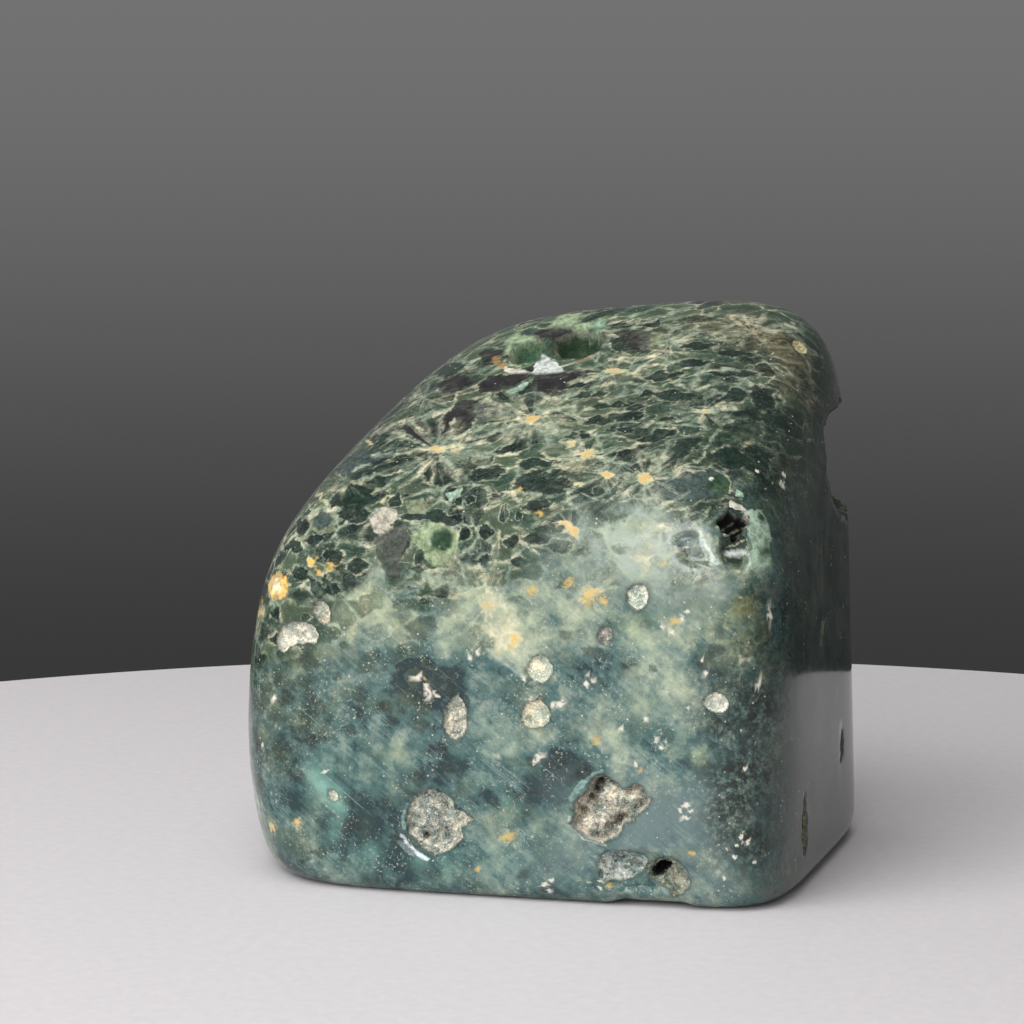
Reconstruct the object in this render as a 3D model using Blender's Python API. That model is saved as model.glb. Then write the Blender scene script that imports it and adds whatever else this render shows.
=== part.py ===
# A polished freeform of ocean jasper: one stone, ground to a few broad rounded
# facets and left standing on its flat foot. The polish has cut through vugs, which
# stay open as rough pits and hollows. Front is -Y, right is +X and up is +Z.

import math
import random

import bmesh
import bpy
import numpy as np
from mathutils import Matrix, Vector

MM = 0.001

# Broad ground facets: degrees round from the front, degrees up, and the distance
# in mm of the facet's plane from the origin at the middle of the foot.
FACETS = {
    "front": (2, 0, 24.8),
    "right": (85, 1, 38.7),
    "back": (182, 5, 24.8),
    "left": (-80, 5, 38.0),
    "slope": (-7, 57, 54.2),
    "crown": (-11, 68, 64.3),
    "shoulder": (-86, 40, 53.0),
    "brow": (55, 41, 64.0),
    "heel": (-64, -25, 32.2),
    "foot": (0, -90, 0.8),
}
EDGE_ROUNDING = 3.6   # how softly two facets run together, in mm
FOOT_ROUNDING = 1.1
HEART = (0.0, 0.0, 32.0)   # point inside the stone that every surface point can see
HALF_BOX = (40.0, 25.4, 35.8)   # half sizes of the block that the stone was ground from
CELLS = 20   # mesh cells along each side of the block
EDGE_CROWDING = 1.15   # larger values draw the mesh lines closer to the block's edges

# Vugs opened by the polish. Each one has the side it is seen from, its place there
# in mm (x and z from the front or back, y and z from the right or left, x and y
# from above or below), its depth, and either an oval (width, height, turn in
# degrees, raggedness) or an outline in mm around that place, to the right and up
# the surface.
OVAL_VUGS = {
    "heel_hole": ("front", (22.2, 5.0), 4.6, (2.9, 2.1, 30, 0.10)),
    "tall_vug": ("front", (-3.3, 22.7), 1.1, (3.1, 5.4, -4, 0.16)),
    "upper_eye": ("front", (7.2, 29.3), 0.9, (3.3, 3.4, 0, 0.12)),
    "lower_eye": ("front", (6.7, 23.6), 0.9, (3.9, 3.7, 0, 0.14)),
    "right_eye": ("front", (28.6, 25.9), 0.8, (3.0, 2.5, 0, 0.12)),
    "high_eye": ("front", (19.1, 38.5), 0.8, (2.7, 3.1, 0, 0.12)),
    "small_eye": ("front", (15.2, 33.7), 0.7, (2.0, 2.5, 0, 0.12)),
    "teal_eye": ("front", (-19.0, 12.2), 0.6, (1.6, 1.8, 0, 0.10)),
    "edge_spot": ("front", (-20.3, 35.1), 0.7, (2.2, 3.0, 20, 0.16)),
    "amber_spot": ("front", (-26.8, 37.6), 0.5, (2.8, 2.6, 0, 0.10)),
    "pink_patch": ("front", (-12.4, 45.3), 0.6, (3.4, 5.0, 20, 0.22)),
    "brow_pit": ("above", (33.3, 8.4), 0.7, (2.6, 2.4, 0, 0.14)),
    "shoulder_hole": ("front", (29.8, 47.4), 3.4, (3.5, 3.0, -20, 0.14)),
    "shoulder_rake": ("front", (30.4, 43.6), 1.1, (3.3, 4.6, 10, 0.18)),
    "right_crack": ("right", (-10.8, 8.2), 1.0, (2.6, 7.4, 4, 0.24)),
    "right_slit": ("right", (9.2, 14.8), 0.8, (2.0, 3.0, 0, 0.20)),
    "right_speck": ("right", (-1.3, 31.0), 0.7, (1.6, 2.4, 0, 0.16)),
    "back_vug": ("back", (-12.0, 24.0), 2.0, (9.0, 6.4, 25, 0.20)),
    "back_eye": ("back", (9.5, 38.0), 1.2, (4.2, 3.6, 0, 0.16)),
    "back_low_eye": ("back", (19.0, 14.0), 1.0, (3.4, 4.4, 15, 0.16)),
    "back_crown_vug": ("above", (13.0, 19.0), 1.6, (6.2, 4.0, -20, 0.20)),
    "left_vug": ("left", (4.0, 22.0), 1.6, (6.8, 4.6, 30, 0.20)),
    "left_eye": ("left", (-9.0, 38.0), 0.9, (3.2, 3.4, 0, 0.14)),
    "slope_pit": ("above", (-17.5, 4.0), 0.9, (4.4, 2.6, 25, 0.22)),
}
OUTLINED_VUGS = {
    "round_vug": (
        "front", (-6.1, 9.4), 1.5,
        [(-3.3, 3.2), (-1.2, 4.1), (1.0, 3.7), (2.6, 2.6), (4.2, 1.6), (4.2, 0.2), (3.5, -1.7),
         (2.7, -3.2), (0.4, -4.1), (-1.8, -3.5), (-3.5, -1.9), (-4.1, 0.6)],
    ),
    "ledge_vug": (
        "front", (15.9, 12.5), 1.9,
        [(-1.0, 4.1), (0.5, 3.2), (1.4, 2.7), (3.2, 3.2), (3.9, 2.4), (5.3, 1.4), (4.1, 0.3),
         (3.3, -0.7), (2.5, -1.6), (1.4, -2.7), (-0.3, -3.8), (-1.0, -4.5), (-2.2, -4.3),
         (-3.4, -3.5), (-4.9, -2.2), (-5.1, -0.7), (-4.3, 1.0), (-2.3, 3.3)],
    ),
    "heel_vug": (
        "front", (19.8, 5.8), 1.7,
        [(-5.0, 0.2), (-4.2, 0.9), (-2.6, 1.5), (-1.1, 1.7), (0.5, 2.0), (1.7, 1.7), (2.9, 1.1),
         (4.1, 1.0), (5.1, 0.2), (4.9, -0.5), (5.4, -1.6), (5.0, -3.0), (3.6, -4.2), (1.0, -4.5),
         (-2.4, -4.4), (-4.0, -3.2), (-5.0, -2.0), (-4.8, -1.1)],
    ),
    "heel_nick": (
        "below", (20.0, -21.5), 0.9,
        [(-5.2, 5.0), (-1.0, 6.0), (3.4, 5.2), (5.0, 1.0), (3.6, -3.2), (0.4, -4.4), (-3.8, -2.6),
         (-5.6, 1.2)],
    ),
    "crown_left_bay": (
        "above", (-1.4, 4.2), 3.2,
        [(-2.4, 2.2), (-0.4, 2.9), (1.6, 2.9), (1.9, 0.2), (1.5, -2.6), (-1.2, -3.0), (-2.6, -1.4)],
    ),
    "crown_right_bay": (
        "above", (4.6, 4.0), 3.8,
        [(-3.0, 2.8), (-0.4, 4.4), (2.2, 4.2), (3.6, 2.2), (3.4, -1.0), (1.4, -2.6), (-1.6, -2.4),
         (-2.8, -0.6)],
    ),
    "edge_notch": (
        "right", (13.5, 52.0), 3.9,
        [(-9.6, 4.4), (-6.0, 6.2), (-1.0, 6.8), (5.0, 6.6), (11.5, 6.0), (13.0, 2.0), (11.5, -3.6),
         (6.0, -7.0), (0.0, -8.2), (-5.0, -7.0), (-8.6, -4.6), (-10.4, -0.6)],
    ),
}
# Polished dips, smooth all over: side, place, depth, oval.
DIMPLES = {
    "upper_dimple": ("front", (24.6, 45.6), 0.40, (3.6, 2.0, 12, 0.0)),
    "lower_dimple": ("front", (25.7, 43.4), 0.45, (4.2, 2.8, -8, 0.0)),
}
# Ways that the sides are looked at from: outward direction, then the two axes that
# the places above run along.
SIDES = {
    "front": (Vector((0, -1, 0)), Vector((1, 0, 0)), Vector((0, 0, 1))),
    "back": (Vector((0, 1, 0)), Vector((1, 0, 0)), Vector((0, 0, 1))),
    "right": (Vector((1, 0, 0)), Vector((0, 1, 0)), Vector((0, 0, 1))),
    "left": (Vector((-1, 0, 0)), Vector((0, 1, 0)), Vector((0, 0, 1))),
    "above": (Vector((0, 0, 1)), Vector((1, 0, 0)), Vector((0, 1, 0))),
    "below": (Vector((0, 0, -1)), Vector((1, 0, 0)), Vector((0, 1, 0))),
}
# A vug's wall and floor, from its rim inwards: share of the outline, share of the
# depth. The first ring stands clear above the polished surface.
VUG_RINGS = [(1.0, 0.0), (0.93, 0.5), (0.74, 0.85), (0.42, 1.0)]
DIMPLE_RINGS = [(1.0, 0.0), (0.72, 0.48), (0.40, 0.84)]
VUG_LUMPS = 0.12   # how uneven a vug's wall and floor are, as a share of its size
CLEARANCE = 1.4   # how far a cutter stands out of the surface, in mm
OVAL_POINTS = 12
VUG_SEED = 11

NEWTON_STEPS = 40   # enough for every ray to close in on the surface
OUTSIDE = 120.0   # a distance from the origin that is well outside the stone, in mm
SAME_LEVEL = 1e-6   # heights that are as good as equal, in metres
SHARP_ANGLE = 35   # degrees between faces from which their edge stays sharp
JASPER_GREEN = (0.055, 0.105, 0.085, 1.0)
POLISH_ROUGHNESS = 0.22


def facet_normal(round_deg, up_deg):
    """Outward direction of a facet."""
    turn = math.radians(round_deg)
    rise = math.radians(up_deg)
    level = math.cos(rise)
    return (math.sin(turn) * level, -math.cos(turn) * level, math.sin(rise))


NORMALS = np.array([facet_normal(turn, rise) for turn, rise, _ in FACETS.values()])
OFFSETS = np.array([offset for _, _, offset in FACETS.values()])
ROUNDINGS = np.array([FOOT_ROUNDING if name == "foot" else EDGE_ROUNDING for name in FACETS])


def surface_hit(starts, ways):
    """Points where rays that start outside the stone first meet its ground surface.

    The surface is where the exponentials of a point's heights over the facets, each
    divided by its rounding, add up to one. Newton's rule closes in on it from outside.
    """
    along = np.zeros(len(starts))
    slopes = (ways @ NORMALS.T) / ROUNDINGS
    for _ in range(NEWTON_STEPS):
        points = starts + ways * along[:, None]
        heights = (points @ NORMALS.T - OFFSETS) / ROUNDINGS
        top = heights.max(axis=1)
        parts = np.exp(heights - top[:, None])
        total = parts.sum(axis=1)
        slope = (parts * slopes).sum(axis=1) / total
        along -= (top + np.log(total)) / slope
    return starts + ways * along[:, None]


def surface_normal(point):
    """Outward normal of the ground surface at a point on it."""
    heights = (NORMALS @ np.array(point) - OFFSETS) / ROUNDINGS
    parts = np.exp(heights) / ROUNDINGS
    return Vector(parts @ NORMALS).normalized()


def crowded(step):
    """Grid line between -1 and 1, with the lines closer together near the ends."""
    even = 2.0 * step / CELLS - 1.0
    return math.sin(EDGE_CROWDING * even) / math.sin(EDGE_CROWDING)


def ground_body():
    """Closed mesh of the ground stone, before its foot is cut flat."""
    body = bmesh.new()
    bmesh.ops.create_cube(body, size=2.0)
    bmesh.ops.subdivide_edges(body, edges=body.edges[:], cuts=CELLS - 1, use_grid_fill=True)
    half = np.array(HALF_BOX)
    ways = []
    for vert in body.verts:
        steps = [round((axis + 1.0) * CELLS / 2.0) for axis in vert.co]
        ways.append([crowded(step) for step in steps])
    ways = np.array(ways) * half
    ways /= np.linalg.norm(ways, axis=1)[:, None]
    far = 2.0 * half.max()
    hits = surface_hit(np.array(HEART) + ways * far, -ways)
    for vert, hit in zip(body.verts, hits):
        vert.co = Vector(hit) * MM
    return body


def flatten_foot(body):
    """Cut the stone off at the level that it stands on."""
    geometry = body.verts[:] + body.edges[:] + body.faces[:]
    cut = bmesh.ops.bisect_plane(
        body, geom=geometry, dist=SAME_LEVEL, plane_co=(0, 0, 0), plane_no=(0, 0, 1), clear_inner=True
    )
    rim = [item for item in cut["geom_cut"] if isinstance(item, bmesh.types.BMEdge)]
    bmesh.ops.contextual_create(body, geom=rim)
    for vert in body.verts:
        if abs(vert.co.z) < SAME_LEVEL:
            vert.co.z = 0.0
    bmesh.ops.recalc_face_normals(body, faces=body.faces)


def seat(side, place):
    """Frame on the stone's surface: right, up and outward axes at the place."""
    outward, first, second = SIDES[side]
    start = outward * OUTSIDE + first * place[0] + second * place[1]
    hit = surface_hit(np.array([start]), np.array([-outward]))[0]
    normal = surface_normal(hit)
    guide = Vector((0, 1, 0)) if side in ("above", "below") else Vector((0, 0, 1))
    right = guide.cross(normal).normalized()
    up = normal.cross(right)
    frame = Matrix((right, up, normal)).transposed().to_4x4()
    frame.translation = Vector(hit) * MM
    return frame


def oval_outline(width, height, turn_deg, ragged, rng):
    """Points round a ragged oval."""
    turn = math.radians(turn_deg)
    points = []
    for index in range(OVAL_POINTS):
        angle = 2.0 * math.pi * index / OVAL_POINTS
        reach = 1.0 + ragged * rng.uniform(-1.0, 1.0)
        across = 0.5 * width * math.cos(angle) * reach
        along = 0.5 * height * math.sin(angle) * reach
        points.append((
            across * math.cos(turn) - along * math.sin(turn),
            across * math.sin(turn) + along * math.cos(turn),
        ))
    return points


def vug_cutter(name, side, place, depth, outline, rings, lumps, rng):
    """Closed lumpy bowl that stands out of the surface by CLEARANCE."""
    cutter = bmesh.new()
    outline = list(outline)
    if sum(a[0] * b[1] - a[1] * b[0] for a, b in zip(outline, outline[1:] + outline[:1])) < 0:
        outline.reverse()
    levels = [[cutter.verts.new((x, y, CLEARANCE)) for x, y in outline]]
    for share, sink in rings:
        level = []
        for x, y in outline:
            lump = 1.0 + lumps * rng.uniform(-1.0, 1.0) * (sink > 0.0)
            drop = depth * sink * (1.0 + lumps * rng.uniform(-1.0, 1.0))
            level.append(cutter.verts.new((x * share * lump, y * share * lump, -drop)))
        levels.append(level)
    lid = cutter.verts.new((0.0, 0.0, CLEARANCE))
    bottom = cutter.verts.new((0.0, 0.0, -depth * (1.0 + 0.5 * lumps)))
    count = len(outline)
    for index in range(count):
        after = (index + 1) % count
        cutter.faces.new((lid, levels[0][index], levels[0][after]))
        cutter.faces.new((bottom, levels[-1][after], levels[-1][index]))
        for upper, lower in zip(levels, levels[1:]):
            cutter.faces.new((upper[index], lower[index], lower[after], upper[after]))
    bmesh.ops.scale(cutter, vec=(MM, MM, MM), verts=cutter.verts)
    bmesh.ops.recalc_face_normals(cutter, faces=cutter.faces)
    mesh = bpy.data.meshes.new(name)
    cutter.to_mesh(mesh)
    cutter.free()
    mesh.transform(seat(side, place))
    cutter_object = bpy.data.objects.new(name, mesh)
    cutter_object.hide_render = True
    cutter_object.display_type = "WIRE"
    bpy.context.scene.collection.objects.link(cutter_object)
    return cutter_object


def vug_cutters():
    """One cutter for each vug and each dimple, the same on every run."""
    rng = random.Random(VUG_SEED)
    cutters = []
    for name, shape in OUTLINED_VUGS.items():
        cutters.append(vug_cutter("cut_" + name, *shape, VUG_RINGS, VUG_LUMPS, rng))
    for name, (*spot, oval) in OVAL_VUGS.items():
        outline = oval_outline(*oval, rng)
        cutters.append(vug_cutter("cut_" + name, *spot, outline, VUG_RINGS, VUG_LUMPS, rng))
    for name, (*spot, oval) in DIMPLES.items():
        outline = oval_outline(*oval, rng)
        cutters.append(vug_cutter("cut_" + name, *spot, outline, DIMPLE_RINGS, 0.0, rng))
    return cutters


def jasper_material():
    """Polished dark green jasper."""
    material = bpy.data.materials.new("polished_jasper")
    material.use_nodes = True
    shader = material.node_tree.nodes["Principled BSDF"]
    shader.inputs["Base Color"].default_value = JASPER_GREEN
    shader.inputs["Roughness"].default_value = POLISH_ROUGHNESS
    material.diffuse_color = JASPER_GREEN
    return material


def make_stone():
    """The whole stone, with its vugs and dimples cut by Booleans."""
    body = ground_body()
    flatten_foot(body)
    mesh = bpy.data.meshes.new("stone")
    body.to_mesh(mesh)
    body.free()
    stone = bpy.data.objects.new("stone", mesh)
    bpy.context.scene.collection.objects.link(stone)
    mesh.materials.append(jasper_material())
    for cutter in vug_cutters():
        cut = stone.modifiers.new(cutter.name, "BOOLEAN")
        cut.operation = "DIFFERENCE"
        cut.solver = "EXACT"
        cut.object = cutter
    mesh.shade_smooth()
    mesh.set_sharp_from_angle(angle=math.radians(SHARP_ANGLE))
    return stone


for old in list(bpy.data.objects):
    bpy.data.objects.remove(old, do_unlink=True)
make_stone()
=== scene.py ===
import math

import bmesh
import bpy
import numpy as np
from mathutils import Matrix, Vector, noise
from mathutils.bvhtree import BVHTree


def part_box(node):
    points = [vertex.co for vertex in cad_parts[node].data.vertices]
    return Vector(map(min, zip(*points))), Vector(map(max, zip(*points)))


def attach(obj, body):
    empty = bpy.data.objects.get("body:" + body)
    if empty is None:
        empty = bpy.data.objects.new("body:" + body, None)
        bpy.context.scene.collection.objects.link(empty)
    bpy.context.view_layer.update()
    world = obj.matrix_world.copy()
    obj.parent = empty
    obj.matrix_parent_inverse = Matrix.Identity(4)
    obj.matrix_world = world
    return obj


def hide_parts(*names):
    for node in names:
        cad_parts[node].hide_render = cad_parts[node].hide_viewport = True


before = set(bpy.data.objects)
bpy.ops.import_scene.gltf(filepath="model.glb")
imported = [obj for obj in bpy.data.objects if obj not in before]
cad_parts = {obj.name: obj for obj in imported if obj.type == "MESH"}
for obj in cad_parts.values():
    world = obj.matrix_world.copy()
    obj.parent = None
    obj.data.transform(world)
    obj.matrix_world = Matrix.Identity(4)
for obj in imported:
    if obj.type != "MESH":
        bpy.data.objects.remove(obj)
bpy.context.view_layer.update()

# Ocean jasper freeform: one ground and polished stone with open vugs.
# Front is -Y, right is +X. Sizes in the dictionaries are in millimetres.
mm = 0.001
print("frame loaded")

# What a user would change about the view and the light.
view = {
    "place": (88.6, -352.8, 94.7),
    "turn": 14.5,       # degrees round from the front
    "lookDown": 7.8,    # degrees
    "lens": 100.0,
    "sensor": 36.0,
    "picture": 1024,    # pixels along each side of the square frame
}
studio = {
    "tableRadius": 216.5,
    "tableCentre": (25.5, -76.3),
    "tableSides": 256,
    "tableTones": ((206, 202, 204), (213, 209, 210)),
    "tableRoughness": 0.6,
    "surroundLow": 0.04,     # brightness of the surround behind the table's edge
    "surroundHigh": 0.17,    # and from a little above the level of the camera upwards
    "aimHeight": 30.0,       # the softboxes face the stone at this height
}
softboxes = {
    # name: where it stands, its width and height, its power in watts; the last two fill
    # the shadows and leave no image in the polish
    "frontLight": ((90.0, -633.0, 285.0), (200.0, 420.0), 1.25),
    "leftLight": ((-370.0, -530.0, 450.0), (700.0, 700.0), 5.6),
    "topLight": ((-60.0, -200.0, 620.0), (500.0, 500.0), 2.2),
}


def toLinear(red, green, blue):
    # a colour given as 0 to 255 on screen, as the linear values that shaders take
    parts = [part / 255.0 for part in (red, green, blue)]
    parts = [part / 12.92 if part <= 0.04045 else ((part + 0.055) / 1.055) ** 2.4 for part in parts]
    return (*parts, 1.0)


# scene helpers

def addPiece(name, data):
    piece = bpy.data.objects.new(name, data)
    bpy.context.scene.collection.objects.link(piece)
    return piece


def toMesh(shape, name):
    # a finished bmesh as a mesh
    mesh = bpy.data.meshes.new(name)
    shape.to_mesh(mesh)
    shape.free()
    return mesh


def newMaterial(name):
    material = bpy.data.materials.new(name)
    material.use_nodes = True
    return material, material.node_tree.nodes["Principled BSDF"]


# camera

def makeCamera():
    data = bpy.data.cameras.new("photoCamera")
    data.lens = view["lens"]
    data.sensor_width = view["sensor"]
    data.clip_start = 10.0 * mm
    camera = addPiece("photoCamera", data)
    camera.location = Vector(view["place"]) * mm
    camera.rotation_euler = (math.radians(90 - view["lookDown"]), 0, math.radians(view["turn"]))
    bpy.context.scene.camera = camera
    bpy.context.view_layer.update()
    return camera


def pixelRay(camera, across, down):
    # start and direction of the line of sight through a pixel of the square picture
    half = view["picture"] / 2
    reach = view["lens"] / view["sensor"] * view["picture"]
    sight = Vector(((across - half) / reach, (half - down) / reach, -1.0))
    sight.rotate(camera.matrix_world.to_quaternion())
    return camera.matrix_world.translation.copy(), sight.normalized()


# node helpers

def feed(tree, socket, value):
    if isinstance(value, bpy.types.NodeSocket):
        tree.links.new(value, socket)
    else:
        socket.default_value = value


def addNode(tree, kind, inputs=None, **settings):
    made = tree.nodes.new(kind)
    for name, value in settings.items():
        setattr(made, name, value)
    for socket, value in (inputs or {}).items():
        feed(tree, made.inputs[socket], value)
    return made


def addSockets(tree, inputs, outputs):
    # a group's sockets by name and kind; returns them as they are seen from inside
    for inOut, sockets in (("INPUT", inputs), ("OUTPUT", outputs)):
        for name, kind in sockets.items():
            tree.interface.new_socket(name, in_out=inOut, socket_type="NodeSocket" + kind)
    return addNode(tree, "NodeGroupInput").outputs, addNode(tree, "NodeGroupOutput").inputs


class Nodes:
    # short names for the nodes that the trees use again and again
    def __init__(self, tree):
        self.tree = tree

    def calc(self, operation, first, second=0.0, clamp=False):
        return addNode(self.tree, "ShaderNodeMath", {0: first, 1: second},
                       operation=operation, use_clamp=clamp).outputs[0]

    def give(self, node, values):
        for name, value in values.items():
            feed(self.tree, node.inputs[name], value)

    def plus(self, first, second):
        return self.calc("ADD", first, second)

    def minus(self, first, second):
        return self.calc("SUBTRACT", first, second)

    def times(self, first, second, clamp=False):
        return self.calc("MULTIPLY", first, second, clamp)

    def swing(self, value, amount):
        # a noise as a swing to either side of nothing
        return self.times(self.minus(value, 0.5), amount)

    def vector(self, operation, first, second=None):
        inputs = {0: first}
        if second is not None:
            inputs["Scale" if operation == "SCALE" else 1] = second
        made = addNode(self.tree, "ShaderNodeVectorMath", inputs, operation=operation)
        return made.outputs["Value" if operation == "DOT_PRODUCT" else "Vector"]

    def moved(self, vector, offset, amount):
        return self.vector("ADD", vector, self.vector("SCALE", offset, amount))

    def turned(self, vector, degrees, axis):
        made = addNode(self.tree, "ShaderNodeVectorRotate",
                       {"Vector": vector, "Angle": math.radians(degrees)}, rotation_type=axis)
        return made.outputs[0]

    def split(self, vector):
        return addNode(self.tree, "ShaderNodeSeparateXYZ", {0: vector}).outputs

    def joined(self, right=0.0, back=0.0, up=0.0):
        return addNode(self.tree, "ShaderNodeCombineXYZ", {0: right, 1: back, 2: up}).outputs[0]

    def channels(self, colour):
        return addNode(self.tree, "ShaderNodeSeparateColor", {0: colour}).outputs

    def spread(self, value, low, high, toLow=0.0, toHigh=1.0, kind="LINEAR"):
        made = addNode(self.tree, "ShaderNodeMapRange",
                       {0: value, 1: low, 2: high, 3: toLow, 4: toHigh}, interpolation_type=kind)
        return made.outputs[0]

    def step(self, value, low, high, toLow=0.0, toHigh=1.0):
        return self.spread(value, low, high, toLow, toHigh, "SMOOTHSTEP")

    def noise(self, vector, size, detail, rough, output="Fac"):
        # size is that of the broadest features, in millimetres
        made = addNode(self.tree, "ShaderNodeTexNoise",
                       {"Vector": vector, "Scale": 1.0 / size, "Detail": detail, "Roughness": rough})
        return made.outputs[output]

    def wander(self, vector, size, detail, rough):
        # a noise with its own value in each direction, to either side of nothing
        return self.vector("SUBTRACT", self.noise(vector, size, detail, rough, "Color"), (0.5, 0.5, 0.5))

    def cells(self, vector, size, feature="F1"):
        return addNode(self.tree, "ShaderNodeTexVoronoi", {"Vector": vector, "Scale": 1.0 / size},
                       feature=feature).outputs

    def mix(self, share, first, second, blend="MIX"):
        made = addNode(self.tree, "ShaderNodeMix", {0: share, 6: first, 7: second},
                       data_type="RGBA", blend_type=blend)
        return made.outputs[2]

    def over(self, below, above, share, strength=1.0):
        # lays one colour over another; the node keeps the share within 0 and 1
        if strength != 1.0:
            share = self.times(share, strength)
        return self.mix(share, below, above)

    def attribute(self, name, output="Fac"):
        return addNode(self.tree, "ShaderNodeAttribute", attribute_name=name).outputs[output]

    def millimetres(self):
        spot = addNode(self.tree, "ShaderNodeTexCoord").outputs["Object"]
        return self.vector("SCALE", spot, 1.0 / mm)


# The stone's form. Broad ground facets: degrees round from the front, degrees up,
# and the distance of the facet's plane from the middle of the foot.
stoneForm = {
    "facets": {
        "front": (2, 0, 24.8),
        "right": (85, 1, 38.7),
        "back": (182, 5, 24.8),
        "left": (-80, 5, 38.0),
        "slope": (-7, 57, 54.2),
        "crown": (-11, 68, 64.3),
        "shoulder": (-86, 40, 53.0),
        "brow": (55, 41, 64.0),
        "heel": (-64, -25, 32.2),
        "foot": (0, -90, 0.8),
    },
    "edgeRounding": 3.6,
    "footRounding": 1.1,
    "heart": (0.0, 0.0, 32.0),       # a point inside that every surface point can see
    "halfBox": (40.0, 25.4, 35.8),   # half sizes of the block that it was ground from
    "outside": 120.0,                # a distance from the origin that is well outside it
}
# The mesh laid on that form.
stoneMesh = {
    "cells": 53,         # along each side of the block
    "crowding": 1.15,    # draws the mesh lines closer to the block's edges
    "start": 75.0,       # how far out the mesh starts before it closes in
    "steps": 14,
    "seenFrom": 0.05,    # cells that face the camera more than this are halved,
    "endFrom": 0.8,      # apart from those that face right more than this
    "endBelow": 0.4,     # and up less than this
    # where the cells are halved once more for the markings: centre, radius
    "fine": [
        ((-18.0, -16.0, 48.0), 12.0), ((-2.0, -14.0, 53.0), 14.0), ((14.0, -14.0, 54.0), 14.0),
        ((27.0, -14.0, 54.0), 10.0), ((0.0, -2.0, 61.0), 12.0), ((16.0, -2.0, 63.0), 12.0),
    ],
}


def facetDirection(roundDegrees, upDegrees):
    turn = math.radians(roundDegrees)
    rise = math.radians(upDegrees)
    level = math.cos(rise)
    return Vector((math.sin(turn) * level, -math.cos(turn) * level, math.sin(rise)))


def finishTree(tree, geometry, material, result):
    real = addNode(tree, "GeometryNodeRealizeInstances", {"Geometry": geometry})
    clad = addNode(tree, "GeometryNodeSetMaterial", {"Geometry": real.outputs[0], "Material": material})
    feed(tree, result["Geometry"], clad.outputs[0])


def groundFacetsTree(material):
    # Draws every point in towards the heart until the exponentials of its heights over
    # the facets, each divided by its rounding, add up to one: flat facets, soft edges.
    tree = bpy.data.node_groups.new("groundFacets", "GeometryNodeTree")
    distances = {name + " distance": "Float" for name in stoneForm["facets"]}
    given, result = addSockets(
        tree, {"Geometry": "Geometry", "Edge rounding": "Float", "Foot rounding": "Float", **distances},
        {"Geometry": "Geometry"})
    zoneIn = addNode(tree, "GeometryNodeRepeatInput")
    zoneOut = addNode(tree, "GeometryNodeRepeatOutput")
    zoneIn.pair_with_output(zoneOut)
    zoneIn.inputs["Iterations"].default_value = stoneMesh["steps"]
    feed(tree, zoneIn.inputs["Geometry"], given["Geometry"])

    s = Nodes(tree)
    spot = addNode(tree, "GeometryNodeInputPosition").outputs[0]
    way = s.vector("NORMALIZE", s.vector("SUBTRACT", spot, Vector(stoneForm["heart"]) * mm))
    total = 0.0
    slope = 0.0
    for name, (turn, rise, _) in stoneForm["facets"].items():
        out = facetDirection(turn, rise)
        rounding = given["Foot rounding" if name == "foot" else "Edge rounding"]
        height = s.minus(s.vector("DOT_PRODUCT", spot, out), given[name + " distance"])
        part = s.calc("EXPONENT", s.calc("DIVIDE", height, rounding))
        steep = s.calc("DIVIDE", s.vector("DOT_PRODUCT", way, out), rounding)
        total = s.plus(part, total)
        slope = s.plus(s.times(part, steep), slope)
    step = s.calc("DIVIDE", s.times(total, s.calc("LOGARITHM", total, math.e)), slope)
    inward = s.vector("SUBTRACT", spot, s.vector("SCALE", way, step))
    place = addNode(tree, "GeometryNodeSetPosition",
                    {"Geometry": zoneIn.outputs["Geometry"], "Position": inward})
    feed(tree, zoneOut.inputs["Geometry"], place.outputs[0])

    # the foot is cut flat at the level that the stone stands on
    right, back, up = s.split(spot)
    flat = s.joined(right, back, s.calc("MAXIMUM", up, 0.0))
    foot = addNode(tree, "GeometryNodeSetPosition",
                   {"Geometry": zoneOut.outputs["Geometry"], "Position": flat})
    finishTree(tree, foot.outputs[0], material, result)
    return tree


def meshFromTree(mesh, name, tree, values):
    # the mesh that a Geometry Nodes tree makes of another one; values by the input's name
    source = addPiece(name + "Source", mesh)
    modifier = source.modifiers.new(name, "NODES")
    modifier.node_group = tree
    for item in tree.interface.items_tree:
        if item.in_out == "INPUT" and item.name in values:
            modifier[item.identifier] = values[item.name]
    bpy.context.view_layer.update()
    evaluated = source.evaluated_get(bpy.context.evaluated_depsgraph_get())
    made = bpy.data.meshes.new_from_object(evaluated)
    made.name = name
    bpy.data.objects.remove(source, do_unlink=True)
    bpy.data.meshes.remove(mesh)
    return made


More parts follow.
